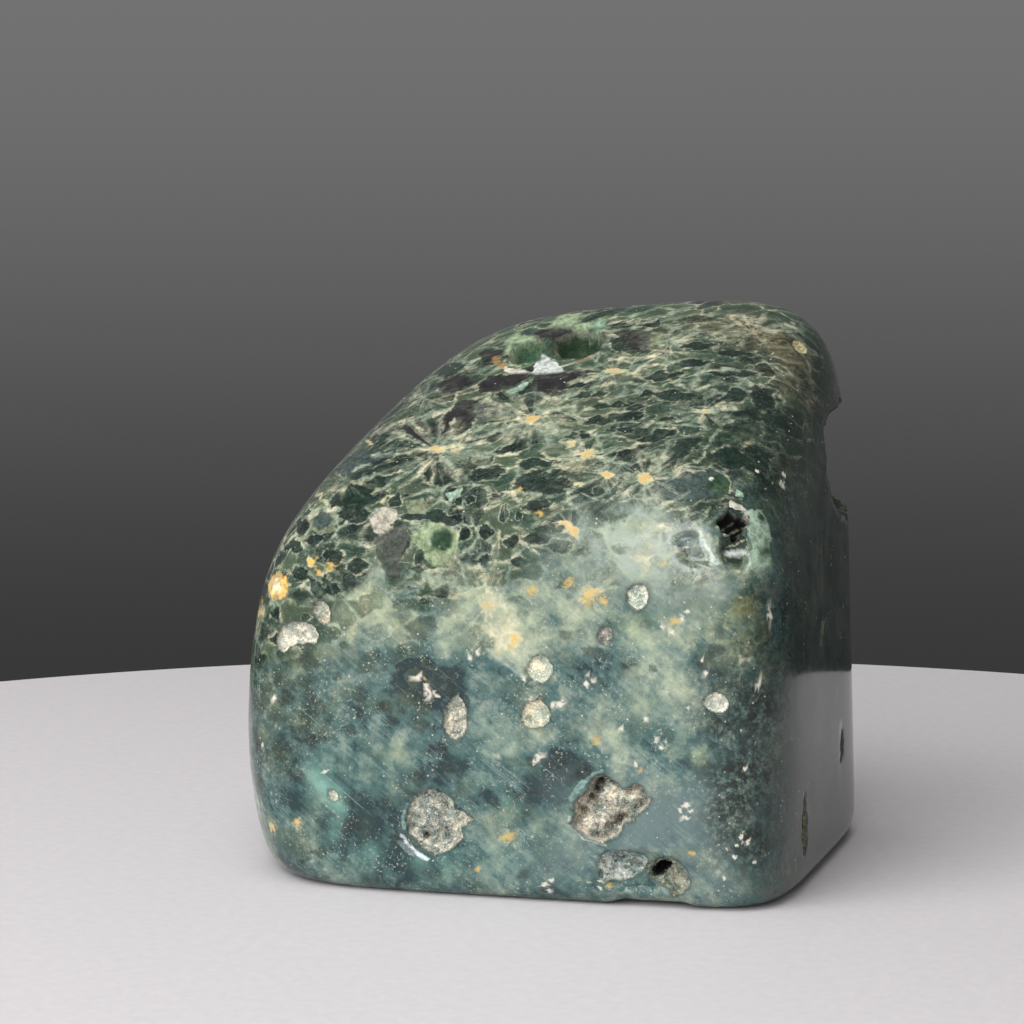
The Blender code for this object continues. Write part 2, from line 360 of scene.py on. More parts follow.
def makeCage(camera):
    # a cube of cells, finer on the sides that the camera sees, blown up round the heart
    cage = bmesh.new()
    bmesh.ops.create_cube(cage, size=2.0)
    bmesh.ops.subdivide_edges(cage, edges=cage.edges[:], cuts=stoneMesh["cells"] - 1, use_grid_fill=True)
    back = camera.matrix_world.to_3x3() @ Vector((0, 0, 1))
    half = Vector(stoneForm["halfBox"])
    seen = set()
    for face in cage.faces:
        middle = face.calc_center_median()
        way = Vector([middle[axis] * half[axis] for axis in range(3)]).normalized()
        lowOnEnd = way.x >= stoneMesh["endFrom"] and way.z <= stoneMesh["endBelow"]
        if way.dot(back) > stoneMesh["seenFrom"] and not lowOnEnd:
            seen.update(face.edges)
    bmesh.ops.subdivide_edges(cage, edges=list(seen), cuts=1, use_grid_fill=True)
    crowding = stoneMesh["crowding"]
    ways = np.sin(crowding * np.array([vert.co for vert in cage.verts])) / math.sin(crowding) * np.array(half)
    ways /= np.linalg.norm(ways, axis=1)[:, None]
    spots = (np.array(stoneForm["heart"]) + ways * stoneMesh["start"]) * mm
    for vert, spot in zip(cage.verts, spots):
        vert.co = spot
    return toMesh(cage, "stoneCage")


def groundStone(camera, material):
    values = {name + " distance": facet[2] * mm for name, facet in stoneForm["facets"].items()}
    values["Edge rounding"] = stoneForm["edgeRounding"] * mm
    values["Foot rounding"] = stoneForm["footRounding"] * mm
    mesh = meshFromTree(makeCage(camera), "polishedStone", groundFacetsTree(material), values)
    print("stone ground to its facets:", len(mesh.polygons), "faces")
    return mesh


# Vugs opened by the polish. Side that each is seen from, its place on that side, its
# depth, an oval (width, height, turn) or an outline round that place, the width of its
# wall, how lumpy its floor is, the colour and grit of its lining, how much painted shade
# its depth gives it, how far below the surface it reaches, and dips or lumps in its floor
# (right, up, radius, extra depth). What a vug leaves out is as in the plain one.
plainVug = {"side": "front", "lumps": 0.0, "lining": None, "grit": 0.28, "shade": 1.0, "skin": 4.0,
            "floor": []}
vugs = {
    "roundMoat": {
        "place": (-6.9, 9.2), "depth": 0.35, "wall": 0.9,
        "outline": [(-3.9, 3.0), (-1.6, 4.6), (1.0, 4.6), (2.9, 2.9), (3.6, 0.0), (2.8, -3.4), (0.4, -4.8),
                    (-2.2, -4.3), (-4.3, -2.3), (-4.8, 0.6)],
    },
    "roundVug": {
        "place": (-6.1, 9.4), "depth": 0.8, "wall": 0.3, "lumps": 0.55,
        "outline": [(-2.5, 3.6), (-0.6, 4.2), (1.2, 3.9), (2.5, 2.9), (2.7, 2.0), (3.7, 1.6), (4.3, 0.9),
                    (4.1, -0.1), (3.3, -0.3), (3.6, -1.7), (2.7, -2.9), (1.3, -3.6), (0.0, -4.2),
                    (-1.5, -3.5), (-2.4, -2.2), (-3.4, -1.6), (-3.6, 0.2), (-3.2, 2.1)],
        "lining": (204, 204, 196), "grit": 0.8,
        "floor": [(-1.3, -1.9, 0.55, 1.5), (3.3, 0.8, 0.5, -0.3), (-0.4, 0.8, 1.6, -0.35),
                  (1.4, -1.8, 0.6, 0.5), (-2.2, 0.4, 0.6, 0.4), (1.2, 2.2, 0.6, 0.35)],
    },
    "ledgeMoat": {
        "place": (13.2, 13.2), "depth": 0.5, "wall": 1.4,
        "outline": [(-1.8, 4.0), (0.6, 4.8), (3.0, 3.6), (4.8, 2.4), (3.8, -0.6), (0.6, -3.2),
                    (-1.6, -3.6), (-2.8, -1.2), (-2.8, 1.8)],
    },
    "ledgeVug": {
        "place": (15.9, 12.5), "depth": 1.4, "wall": 0.35, "lumps": 0.6,
        "outline": [(-1.0, 4.1), (0.0, 3.4), (0.9, 2.9), (1.4, 2.3), (2.3, 2.5), (3.2, 3.1), (3.9, 2.4),
                    (4.4, 1.6), (5.4, 1.4), (4.5, 0.3), (3.4, -0.5), (2.9, -1.5), (1.7, -1.9), (1.0, -3.3),
                    (-0.2, -4.0), (-1.0, -4.6), (-1.9, -4.1), (-2.9, -3.9), (-3.9, -3.2), (-5.0, -2.2),
                    (-4.4, -1.2), (-4.9, -0.4), (-4.0, 0.8), (-2.9, 1.9), (-2.2, 3.5)],
        "lining": (222, 216, 204), "grit": 0.8,
        "floor": [(-1.5, 2.9, 0.5, 1.7), (-2.1, 1.9, 0.5, 1.9), (-2.7, 0.9, 0.5, 1.2),
                  (0.6, 1.0, 1.7, -0.95), (2.8, 1.1, 1.1, -0.9), (-2.0, -2.2, 1.2, -0.7),
                  (0.9, -1.7, 0.8, 0.9), (-0.2, -2.6, 0.6, 0.6), (-3.4, -0.8, 0.6, 0.6),
                  (3.2, -0.1, 0.5, 0.4)],
    },
    "heelVug": {
        "place": (19.8, 5.8), "depth": 0.75, "wall": 1.1,
        "outline": [(-5.0, 0.2), (-4.2, 0.9), (-2.6, 1.5), (-1.1, 1.7), (0.5, 2.0), (1.7, 1.7), (2.9, 1.1),
                    (4.1, 1.0), (5.1, 0.2), (4.9, -0.5), (5.4, -1.6), (5.0, -3.0), (3.6, -4.2),
                    (1.0, -4.5), (-2.4, -4.4), (-4.0, -3.2), (-5.0, -2.0), (-4.8, -1.1)],
    },
    "heelDruse": {
        "place": (17.0, 5.9), "depth": 0.9, "wall": 0.5, "lumps": 0.55,
        "outline": [(-2.4, 0.6), (-1.0, 1.3), (0.8, 1.3), (2.6, 0.9), (3.4, 0.2), (3.0, -1.2), (1.6, -2.3),
                    (-0.2, -2.7), (-1.9, -2.4), (-2.6, -0.9)],
        "lining": (198, 208, 208), "grit": 0.95,
        "floor": [(2.0, -0.6, 0.9, 0.6), (-1.6, -1.9, 0.6, -0.3)],
    },
    "heelRim": {
        "place": (22.6, 4.6), "depth": 0.8, "wall": 0.6, "lumps": 0.5,
        "outline": [(-2.6, 0.4), (-1.6, 1.5), (0.0, 2.1), (1.7, 1.6), (2.7, 0.4), (3.0, -1.1), (2.2, -2.5),
                    (1.0, -3.3), (0.4, -2.2), (-0.4, -1.2), (-1.6, -0.9)],
        "lining": (168, 172, 158), "grit": 0.8,
        "floor": [(1.2, -2.0, 0.9, -0.5)],
    },
    "heelHole": {
        "place": (22.0, 5.0), "depth": 3.4, "wall": 0.4, "lumps": 0.2, "oval": (2.8, 1.7, 32),
        # its near-black lining is painted shade deep in the hole
        "lining": (40, 34, 28), "grit": 0.8,
    },
    "tallVug": {
        "place": (-3.3, 22.7), "depth": 0.6, "wall": 0.3, "lumps": 0.5, "oval": (2.9, 5.4, -4),
        "lining": (228, 222, 210), "grit": 0.7,
    },
    "upperEye": {
        "place": (7.2, 29.3), "depth": 0.5, "wall": 0.4, "lumps": 0.2, "oval": (3.0, 3.2, 0),
        "lining": (252, 250, 234), "grit": 0.35,
        "floor": [(0.1, 1.0, 0.55, 0.5)],
    },
    "lowerEye": {
        "place": (6.7, 23.6), "depth": 0.6, "wall": 0.35, "lumps": 0.4, "oval": (3.7, 3.5, 0),
        "lining": (248, 244, 226), "grit": 0.5,
        "floor": [(-0.8, -0.6, 0.5, 0.6)],
    },
    "rightEye": {
        "place": (28.6, 25.9), "depth": 0.5, "wall": 0.3, "lumps": 0.2, "oval": (3.0, 2.4, 0),
        "lining": (250, 250, 240), "grit": 0.35,
    },
    "highEye": {
        "place": (19.1, 38.5), "depth": 0.4, "wall": 0.3, "lumps": 0.25, "oval": (2.6, 3.1, 0),
        "lining": (244, 246, 234), "grit": 0.45,
    },
    "smallEye": {
        "place": (15.2, 33.7), "depth": 0.5, "wall": 0.25, "lumps": 0.3, "oval": (1.8, 2.4, 0),
        "lining": (190, 184, 178), "grit": 0.8,
    },
    "tealEye": {
        "place": (-19.0, 12.2), "depth": 0.4, "wall": 0.2, "lumps": 0.2, "oval": (1.4, 1.5, 0),
        "lining": (240, 238, 224), "grit": 0.4,
    },
    "scar": {
        "place": (-23.7, 31.9), "depth": 0.7, "wall": 0.35, "lumps": 0.35,
        "outline": [(-2.6, -1.9), (-2.9, -0.4), (-2.2, 1.2), (-0.4, 1.9), (2.2, 1.7), (3.0, 0.6),
                    (2.5, -0.7), (0.4, -0.9), (-1.0, -1.3), (-1.7, -2.3)],
        "lining": (246, 240, 230), "grit": 0.5,
    },
    "edgeSpot": {
        "place": (-20.3, 35.1), "depth": 0.4, "wall": 0.25, "lumps": 0.3, "oval": (2.0, 3.0, 20),
        "lining": (228, 220, 204), "grit": 0.6,
    },
    "browPit": {
        "side": "above", "place": (33.3, 8.4), "depth": 0.5, "wall": 0.3, "lumps": 0.3,
        "oval": (2.4, 2.2, 0), "lining": (232, 214, 172), "grit": 0.5,
    },
    "shoulderHole": {
        "place": (29.8, 47.2), "depth": 2.6, "wall": 0.5, "lumps": 0.3,
        "outline": [(-1.9, 0.2), (-1.2, 1.0), (-0.2, 1.7), (0.6, 1.2), (1.7, 1.3), (2.1, 0.2), (1.5, -0.5),
                    (1.9, -1.6), (0.8, -1.2), (0.2, -2.0), (-0.6, -1.2), (-1.4, -1.0)],
        # its near-black lining is painted shade deep in the hole
        "lining": (34, 40, 34),
    },
    "shoulderRake": {
        "place": (30.4, 43.6), "depth": 0.7, "wall": 0.4, "oval": (3.2, 4.4, 10),
    },
    "crownLeftBay": {
        "side": "above", "place": (-1.4, 4.2), "depth": 2.6, "wall": 0.7, "shade": 0.2, "lumps": 0.3,
        "outline": [(-2.4, 2.2), (-0.4, 2.9), (1.6, 2.9), (1.9, 0.2), (1.5, -2.6), (-1.2, -3.0),
                    (-2.6, -1.4)],
        "lining": (92, 122, 96),
    },
    "crownRightBay": {
        "side": "above", "place": (4.6, 4.0), "depth": 3.2, "wall": 0.7, "shade": 0.25, "lumps": 0.3,
        "outline": [(-3.0, 2.8), (-0.4, 4.4), (2.2, 4.2), (3.6, 2.2), (3.4, -1.0), (1.4, -2.6),
                    (-1.6, -2.4), (-2.8, -0.6)],
        "lining": (64, 84, 62),
    },
    "edgeNotch": {
        "side": "right", "place": (13.5, 52.0), "depth": 3.4, "wall": 2.2, "shade": 0.4, "lumps": 0.5,
        "outline": [(-9.6, 4.4), (-6.0, 6.2), (-1.0, 6.8), (5.0, 6.6), (11.5, 6.0), (13.0, 2.0),
                    (11.5, -3.6), (6.0, -7.0), (0.0, -8.2), (-5.0, -7.0), (-8.6, -4.6), (-10.4, -0.6)],
        "lining": (86, 98, 78),
        "floor": [(4.0, 2.0, 4.5, 0.8)],
    },
    "rightCrack": {
        "side": "right", "place": (-10.8, 8.2), "depth": 0.8, "wall": 0.4, "lumps": 0.5,
        "outline": [(-0.6, 3.7), (0.4, 3.2), (0.5, 1.8), (1.4, 1.0), (0.9, -0.2), (1.6, -1.2), (1.0, -2.2),
                    (0.2, -3.6), (-0.8, -3.4), (-1.0, -2.0), (-1.7, -1.0), (-1.0, 0.4), (-1.2, 1.6),
                    (-0.5, 2.4)],
        "lining": (126, 132, 100), "grit": 1.0,
    },
    "rightSlit": {
        "side": "right", "place": (9.2, 14.8), "depth": 0.6, "wall": 0.3, "lumps": 0.3,
        "oval": (1.8, 3.0, 0), "lining": (40, 44, 38),
    },
    "rightSpeck": {
        "side": "right", "place": (-1.3, 31.0), "depth": 0.5, "wall": 0.3, "lumps": 0.2,
        "oval": (1.6, 2.4, 0), "lining": (150, 150, 120),
    },
    "heelNick": {
        "side": "below", "place": (20.3, -22.0), "depth": 0.55, "wall": 2.6, "skin": 1.0,
        "outline": [(-6.4, 4.4), (-1.0, 5.6), (3.4, 5.0), (5.8, 1.6), (4.6, -3.2), (0.4, -5.0),
                    (-4.8, -3.4), (-6.6, 0.6)],
    },
    "backVug": {
        "side": "back", "place": (-12.0, 24.0), "depth": 1.7, "wall": 0.7, "lumps": 0.6,
        "oval": (9.0, 6.4, 25), "lining": (140, 130, 108), "grit": 0.8,
        "floor": [(1.0, 0.6, 1.4, 0.8)],
    },
    "backEye": {
        "side": "back", "place": (9.5, 38.0), "depth": 1.0, "wall": 0.5, "lumps": 0.4,
        "oval": (4.2, 3.6, 0), "lining": (190, 186, 166), "grit": 0.8,
    },
    "backLowEye": {
        "side": "back", "place": (19.0, 14.0), "depth": 0.8, "wall": 0.5, "lumps": 0.4,
        "oval": (3.4, 4.4, 15), "lining": (176, 168, 146), "grit": 0.8,
    },
    "backCrownVug": {
        "side": "above", "place": (13.0, 19.0), "depth": 1.3, "wall": 0.6, "lumps": 0.5,
        "oval": (6.2, 4.0, -20), "lining": (120, 132, 108), "grit": 0.8,
    },
    "leftVug": {
        "side": "left", "place": (4.0, 22.0), "depth": 1.3, "wall": 0.6, "lumps": 0.5,
        "oval": (6.8, 4.6, 30), "lining": (150, 138, 112), "grit": 0.8,
    },
    "leftEye": {
        "side": "left", "place": (-9.0, 38.0), "depth": 0.7, "wall": 0.4, "lumps": 0.3,
        "oval": (3.2, 3.4, 0), "lining": (196, 190, 170), "grit": 0.8,
    },
    "slopePit": {
        "side": "above", "place": (-17.5, 4.0), "depth": 0.7, "wall": 0.4, "lumps": 0.4,
        "oval": (4.4, 2.6, 25), "lining": (96, 104, 84), "grit": 0.8,
    },
    "upperDimple": {
        "place": (24.6, 45.6), "depth": 0.4, "wall": 1.0, "oval": (3.6, 2.0, 12),
    },
    "lowerDimple": {
        "place": (25.7, 43.4), "depth": 0.45, "wall": 1.3, "oval": (4.2, 2.8, -8),
    },
}
sides = {
    # outward direction, then the two axes that a place on that side is measured along
    "front": (Vector((0, -1, 0)), Vector((1, 0, 0)), Vector((0, 0, 1))),
    "back": (Vector((0, 1, 0)), Vector((1, 0, 0)), Vector((0, 0, 1))),
    "right": (Vector((1, 0, 0)), Vector((0, 1, 0)), Vector((0, 0, 1))),
    "left": (Vector((-1, 0, 0)), Vector((0, 1, 0)), Vector((0, 0, 1))),
    "above": (Vector((0, 0, 1)), Vector((1, 0, 0)), Vector((0, 1, 0))),
    "below": (Vector((0, 0, -1)), Vector((1, 0, 0)), Vector((0, 1, 0))),
}
# How the vugs are cut.
carving = {
    "ovalPoints": 24,
    "margin": 1.0,        # how far round its outline a vug is looked at
    "raggedSize": 1.6,    # of the ins and outs of a lumpy vug's outline
    "raggedMost": 0.35,
    "lumps": [            # noises of a lumpy floor: size, octaves, shift, height
        (0.9, 5, 31.7, 0.55),
        (2.4, 2, -12.3, 0.6),
    ],
    "lip": 0.22,          # share of a wall's width that its steep upper part takes
    "lipDepth": 0.45,     # and the share of the depth
    "least": 0.06,        # a lumpy floor lies no higher than this below the polish
    "bareTint": (0.3, 0.28, 0.24),
}


def seatOn(surface, side, place):
    # frame on the stone's surface at a place: right, up the surface, outward
    outward, first, second = sides[side]
    start = (outward * stoneForm["outside"] + first * place[0] + second * place[1]) * mm
    hit, normal, _, _ = surface.ray_cast(start, -outward)
    guide = Vector((0, 1, 0)) if side in ("above", "below") else Vector((0, 0, 1))
    right = guide.cross(normal).normalized()
    up = normal.cross(right)
    seat = Matrix((right, up, normal)).transposed().to_4x4()
    seat.translation = hit
    return seat


def ovalOutline(width, height, turnDegrees):
    turn = math.radians(turnDegrees)
    outline = []
    for index in range(carving["ovalPoints"]):
        angle = 2 * math.pi * index / carving["ovalPoints"]
        across = 0.5 * width * math.cos(angle)
        upward = 0.5 * height * math.sin(angle)
        outline.append((across * math.cos(turn) - upward * math.sin(turn),
                        across * math.sin(turn) + upward * math.cos(turn)))
    return outline


def openVugs(surface):
    # the vugs with all their values, their outline, how far it reaches, and their seat
    opened = {}
    for name, given in vugs.items():
        vug = {**plainVug, **given}
        if "oval" in vug:
            vug["outline"] = ovalOutline(*vug["oval"])
        vug["reach"] = max(math.hypot(*point) for point in vug["outline"])
        vug["seat"] = seatOn(surface, vug["side"], vug["place"])
        opened[name] = vug
    return opened


def insideDistance(points, outline):
    # distance of each point from the outline, positive inside it
    outline = np.array(outline)
    ends = np.roll(outline, -1, axis=0)
    nearest = np.full(len(points), np.inf)
    inside = np.zeros(len(points), bool)
    for start, end in zip(outline, ends):
        edge = end - start
        offset = points - start
        share = np.clip(offset @ edge / (edge @ edge), 0, 1)
        nearest = np.minimum(nearest, np.linalg.norm(offset - share[:, None] * edge, axis=1))
        if start[1] != end[1]:
            crosses = (start[1] > points[:, 1]) != (end[1] > points[:, 1])
            cut = start[0] + (points[:, 1] - start[1]) * edge[0] / edge[1]
            inside ^= crosses & (points[:, 0] < cut)
    return np.where(inside, nearest, -nearest)


def smooth(values, low, high):
    share = np.clip((values - low) / (high - low), 0, 1)
    return share * share * (3 - 2 * share)


def roughness(points, size, octaves):
    # layered noise between about -1 and 1 at each point, size in millimetres
    return np.array([noise.fractal(Vector(point) / size, 0.8, 2.1, octaves) for point in points])


def insideVug(vug, local, spots):
    # how far each point is inside a vug's ragged outline; the far side of the stone is out
    inside = insideDistance(local[:, :2], vug["outline"])
    if vug["lumps"] > 0:
        inside = inside + (roughness(spots, carving["raggedSize"], 3)
                           * min(carving["raggedMost"], 0.6 * vug["wall"]))
    below = -vug["skin"] - local[:, 2]
    return np.where(below < 0, inside, inside - 1.5 * below)


def vugDepth(vug, local, spots, inside):
    if vug["lumps"] == 0:
        return vug["depth"] * smooth(inside, -0.2, vug["wall"])
    lip = carving["lipDepth"] * smooth(inside, 0, carving["lip"] * vug["wall"])
    deep = vug["depth"] * (lip + (1 - carving["lipDepth"]) * smooth(inside, 0, vug["wall"]))
    lumps = sum(roughness(spots + shift, size, octaves) * vug["lumps"] * height
                for size, octaves, shift, height in carving["lumps"])
    deep = deep + lumps * smooth(inside, 0.05, 0.6)
    for right, up, radius, extra in vug["floor"]:
        away = ((local[:, 0] - right) ** 2 + (local[:, 1] - up) ** 2) / radius ** 2
        deep = deep + extra * np.exp(-away * 1.3) * smooth(inside, 0, 0.5)
    return np.maximum(deep, carving["least"] * smooth(inside, 0, 0.1))


def carve(stone, opened):
    # sinks the vugs into the stone and returns what the lining is like at each point
    places = np.array([vert.co for vert in stone.verts])
    lined = np.zeros(len(places))
    sunk = np.zeros(len(places))
    tint = np.tile(np.array(carving["bareTint"]), (len(places), 1))
    grit = np.ones(len(places))
    rim = np.zeros(len(places))
    for vug in opened.values():
        reach = (vug["reach"] + carving["margin"]) * mm
        centre = np.array(vug["seat"].translation)
        near = np.where(((places - centre) ** 2).sum(axis=1) < reach * reach * 1.4)[0]
        if not len(near):
            continue
        turn = np.array(vug["seat"].to_3x3())
        local = (places[near] - centre) @ turn / mm
        spots = places[near] / mm
        inside = insideVug(vug, local, spots)
        deep = vugDepth(vug, local, spots, inside)
        places[near] -= np.outer(deep * mm, turn[:, 2])
        if vug["lining"] is None:
            continue
        share = smooth(inside, -0.03, 0.07)
        colour = np.array(toLinear(*vug["lining"])[:3])
        lined[near] = np.maximum(lined[near], share)
        # how deep the lining lies, which sets its painted shade
        sunk[near] = np.maximum(sunk[near], deep * share * vug["shade"])
        tint[near] = tint[near] * (1 - share[:, None]) + colour * share[:, None]
        grit[near] = grit[near] * (1 - share) + vug["grit"] * share
        past = inside - 0.05
        edge = np.exp(-(np.minimum(past, 0.0) / 0.3) ** 2 - (np.maximum(past, 0.0) / 0.2) ** 2)
        rim[near] = np.maximum(rim[near], edge)
    for vert, place in zip(stone.verts, places):
        vert.co = place
    return {"lined": lined, "sunk": sunk, "lining": tint, "grit": grit, "rim": rim}


# Small marks on the polish, by their place in the photograph: across, down, radius in
# pixels. White ones are chalky, amber ones iron-stained.
marks = {
    "white": [
        (430, 692, 5), (418, 676, 3.5), (426, 686, 3), (545, 885, 4), (552, 880, 3), (549, 891, 3),
        (741, 838, 3.5), (747, 842, 3), (736, 846, 2.5), (745, 768, 3), (760, 685, 4.5), (769, 606, 5),
        (770, 614, 5), (754, 862, 2), (686, 805, 3.5), (680, 809, 3.5), (690, 811, 3.5), (686, 818, 3),
        (588, 676, 2), (586, 684, 4), (592, 681, 3), (560, 703, 4), (553, 706, 3), (540, 704, 4),
        (532, 701, 4), (524, 680, 3), (540, 754, 4), (534, 761, 4), (699, 628, 2), (668, 690, 2),
        (757, 742, 2), (325, 772, 2), (702, 660, 2), (682, 617, 3.5), (688, 611, 3), (672, 632, 3),
        (661, 626, 2), (783, 484, 5), (784, 474, 3), (742, 730, 2), (274, 697, 3), (262, 745, 2),
        (735, 857, 2.5), (728, 850, 2.5), (724, 878, 2), (656, 741, 3), (661, 747, 3), (667, 742, 2.5),
        (600, 888, 2.5), (603, 880, 3), (437, 696, 3), (757, 470, 2.5), (712, 478, 2.5), (706, 672, 2.5),
        (477, 652, 3.5), (470, 658, 3), (622, 729, 2.5), (645, 718, 2), (688, 708, 2), (636, 763, 2.5),
    ],
    "amber": [
        (515, 637, 7), (425, 678, 3), (692, 853, 4), (500, 650, 3), (532, 590, 5), (610, 886, 4),
        (640, 770, 3), (598, 742, 3), (676, 620, 4), (273, 827, 5), (297, 823, 5), (478, 870, 3),
        (508, 836, 6), (330, 565, 6), (313, 560, 5), (318, 572, 4), (259, 610, 5), (262, 600, 4),
        (590, 594, 9), (604, 600, 5), (570, 583, 5), (665, 560, 3), (541, 512, 4), (520, 488, 3),
    ],
}


class Places:
    # where lines of sight through pixels meet the stone
    def __init__(self, camera, surface):
        self.camera = camera
        self.surface = surface

    def each(self, rounds):
        # place, radius and strength on the stone of rounds given in the photograph
        for across, down, pixels, *strength in rounds:
            start, sight = pixelRay(self.camera, across, down)
            hit, _, _, distance = self.surface.ray_cast(start, sight)
            if hit is not None:
                radius = pixels * distance * view["sensor"] / view["lens"] / view["picture"]
                yield np.array(hit), radius, *strength


def refine(stone, spots):
    # halves the cells round each spot: a spot is a centre, a radius and how often
    deepest = max(level for _, _, level in spots)
    for turn in range(deepest):
        places = np.array([vert.co for vert in stone.verts])
        wanted = np.zeros(len(places), bool)
        for centre, radius, level in spots:
            if level > turn:
                wide = radius + 0.5 * mm / 2 ** turn
                wanted |= ((places - np.array(centre)) ** 2).sum(axis=1) < wide * wide
        stone.verts.index_update()
        edges = [edge for edge in stone.edges
                 if wanted[edge.verts[0].index] and wanted[edge.verts[1].index]]
        bmesh.ops.subdivide_edges(stone, edges=edges, cuts=1, use_grid_fill=True)


def spotsToRefine(opened, placed):
    spots = []
    for name, vug in opened.items():
        coarse = name == "edgeNotch" or vug["lumps"] == 0 or vug["side"] in ("back", "left")
        spots.append((vug["seat"].translation, (vug["reach"] + 0.2) * mm, 1 if coarse else 2))
    for family in marks.values():
        spots += [(place, radius * 1.1, 2) for place, radius in placed.each(family)]
    spots += [(Vector(place) * mm, radius * mm, 1) for place, radius in stoneMesh["fine"]]
    return spots


def setValues(mesh, name, values):
    # an attribute of the mesh's points: one number each, or three
    values = np.asarray(values, np.float32)
    if values.ndim == 1:
        mesh.attributes.new(name, "FLOAT", "POINT").data.foreach_set("value", values)
    else:
        mesh.attributes.new(name, "FLOAT_VECTOR", "POINT").data.foreach_set("vector", values.ravel())


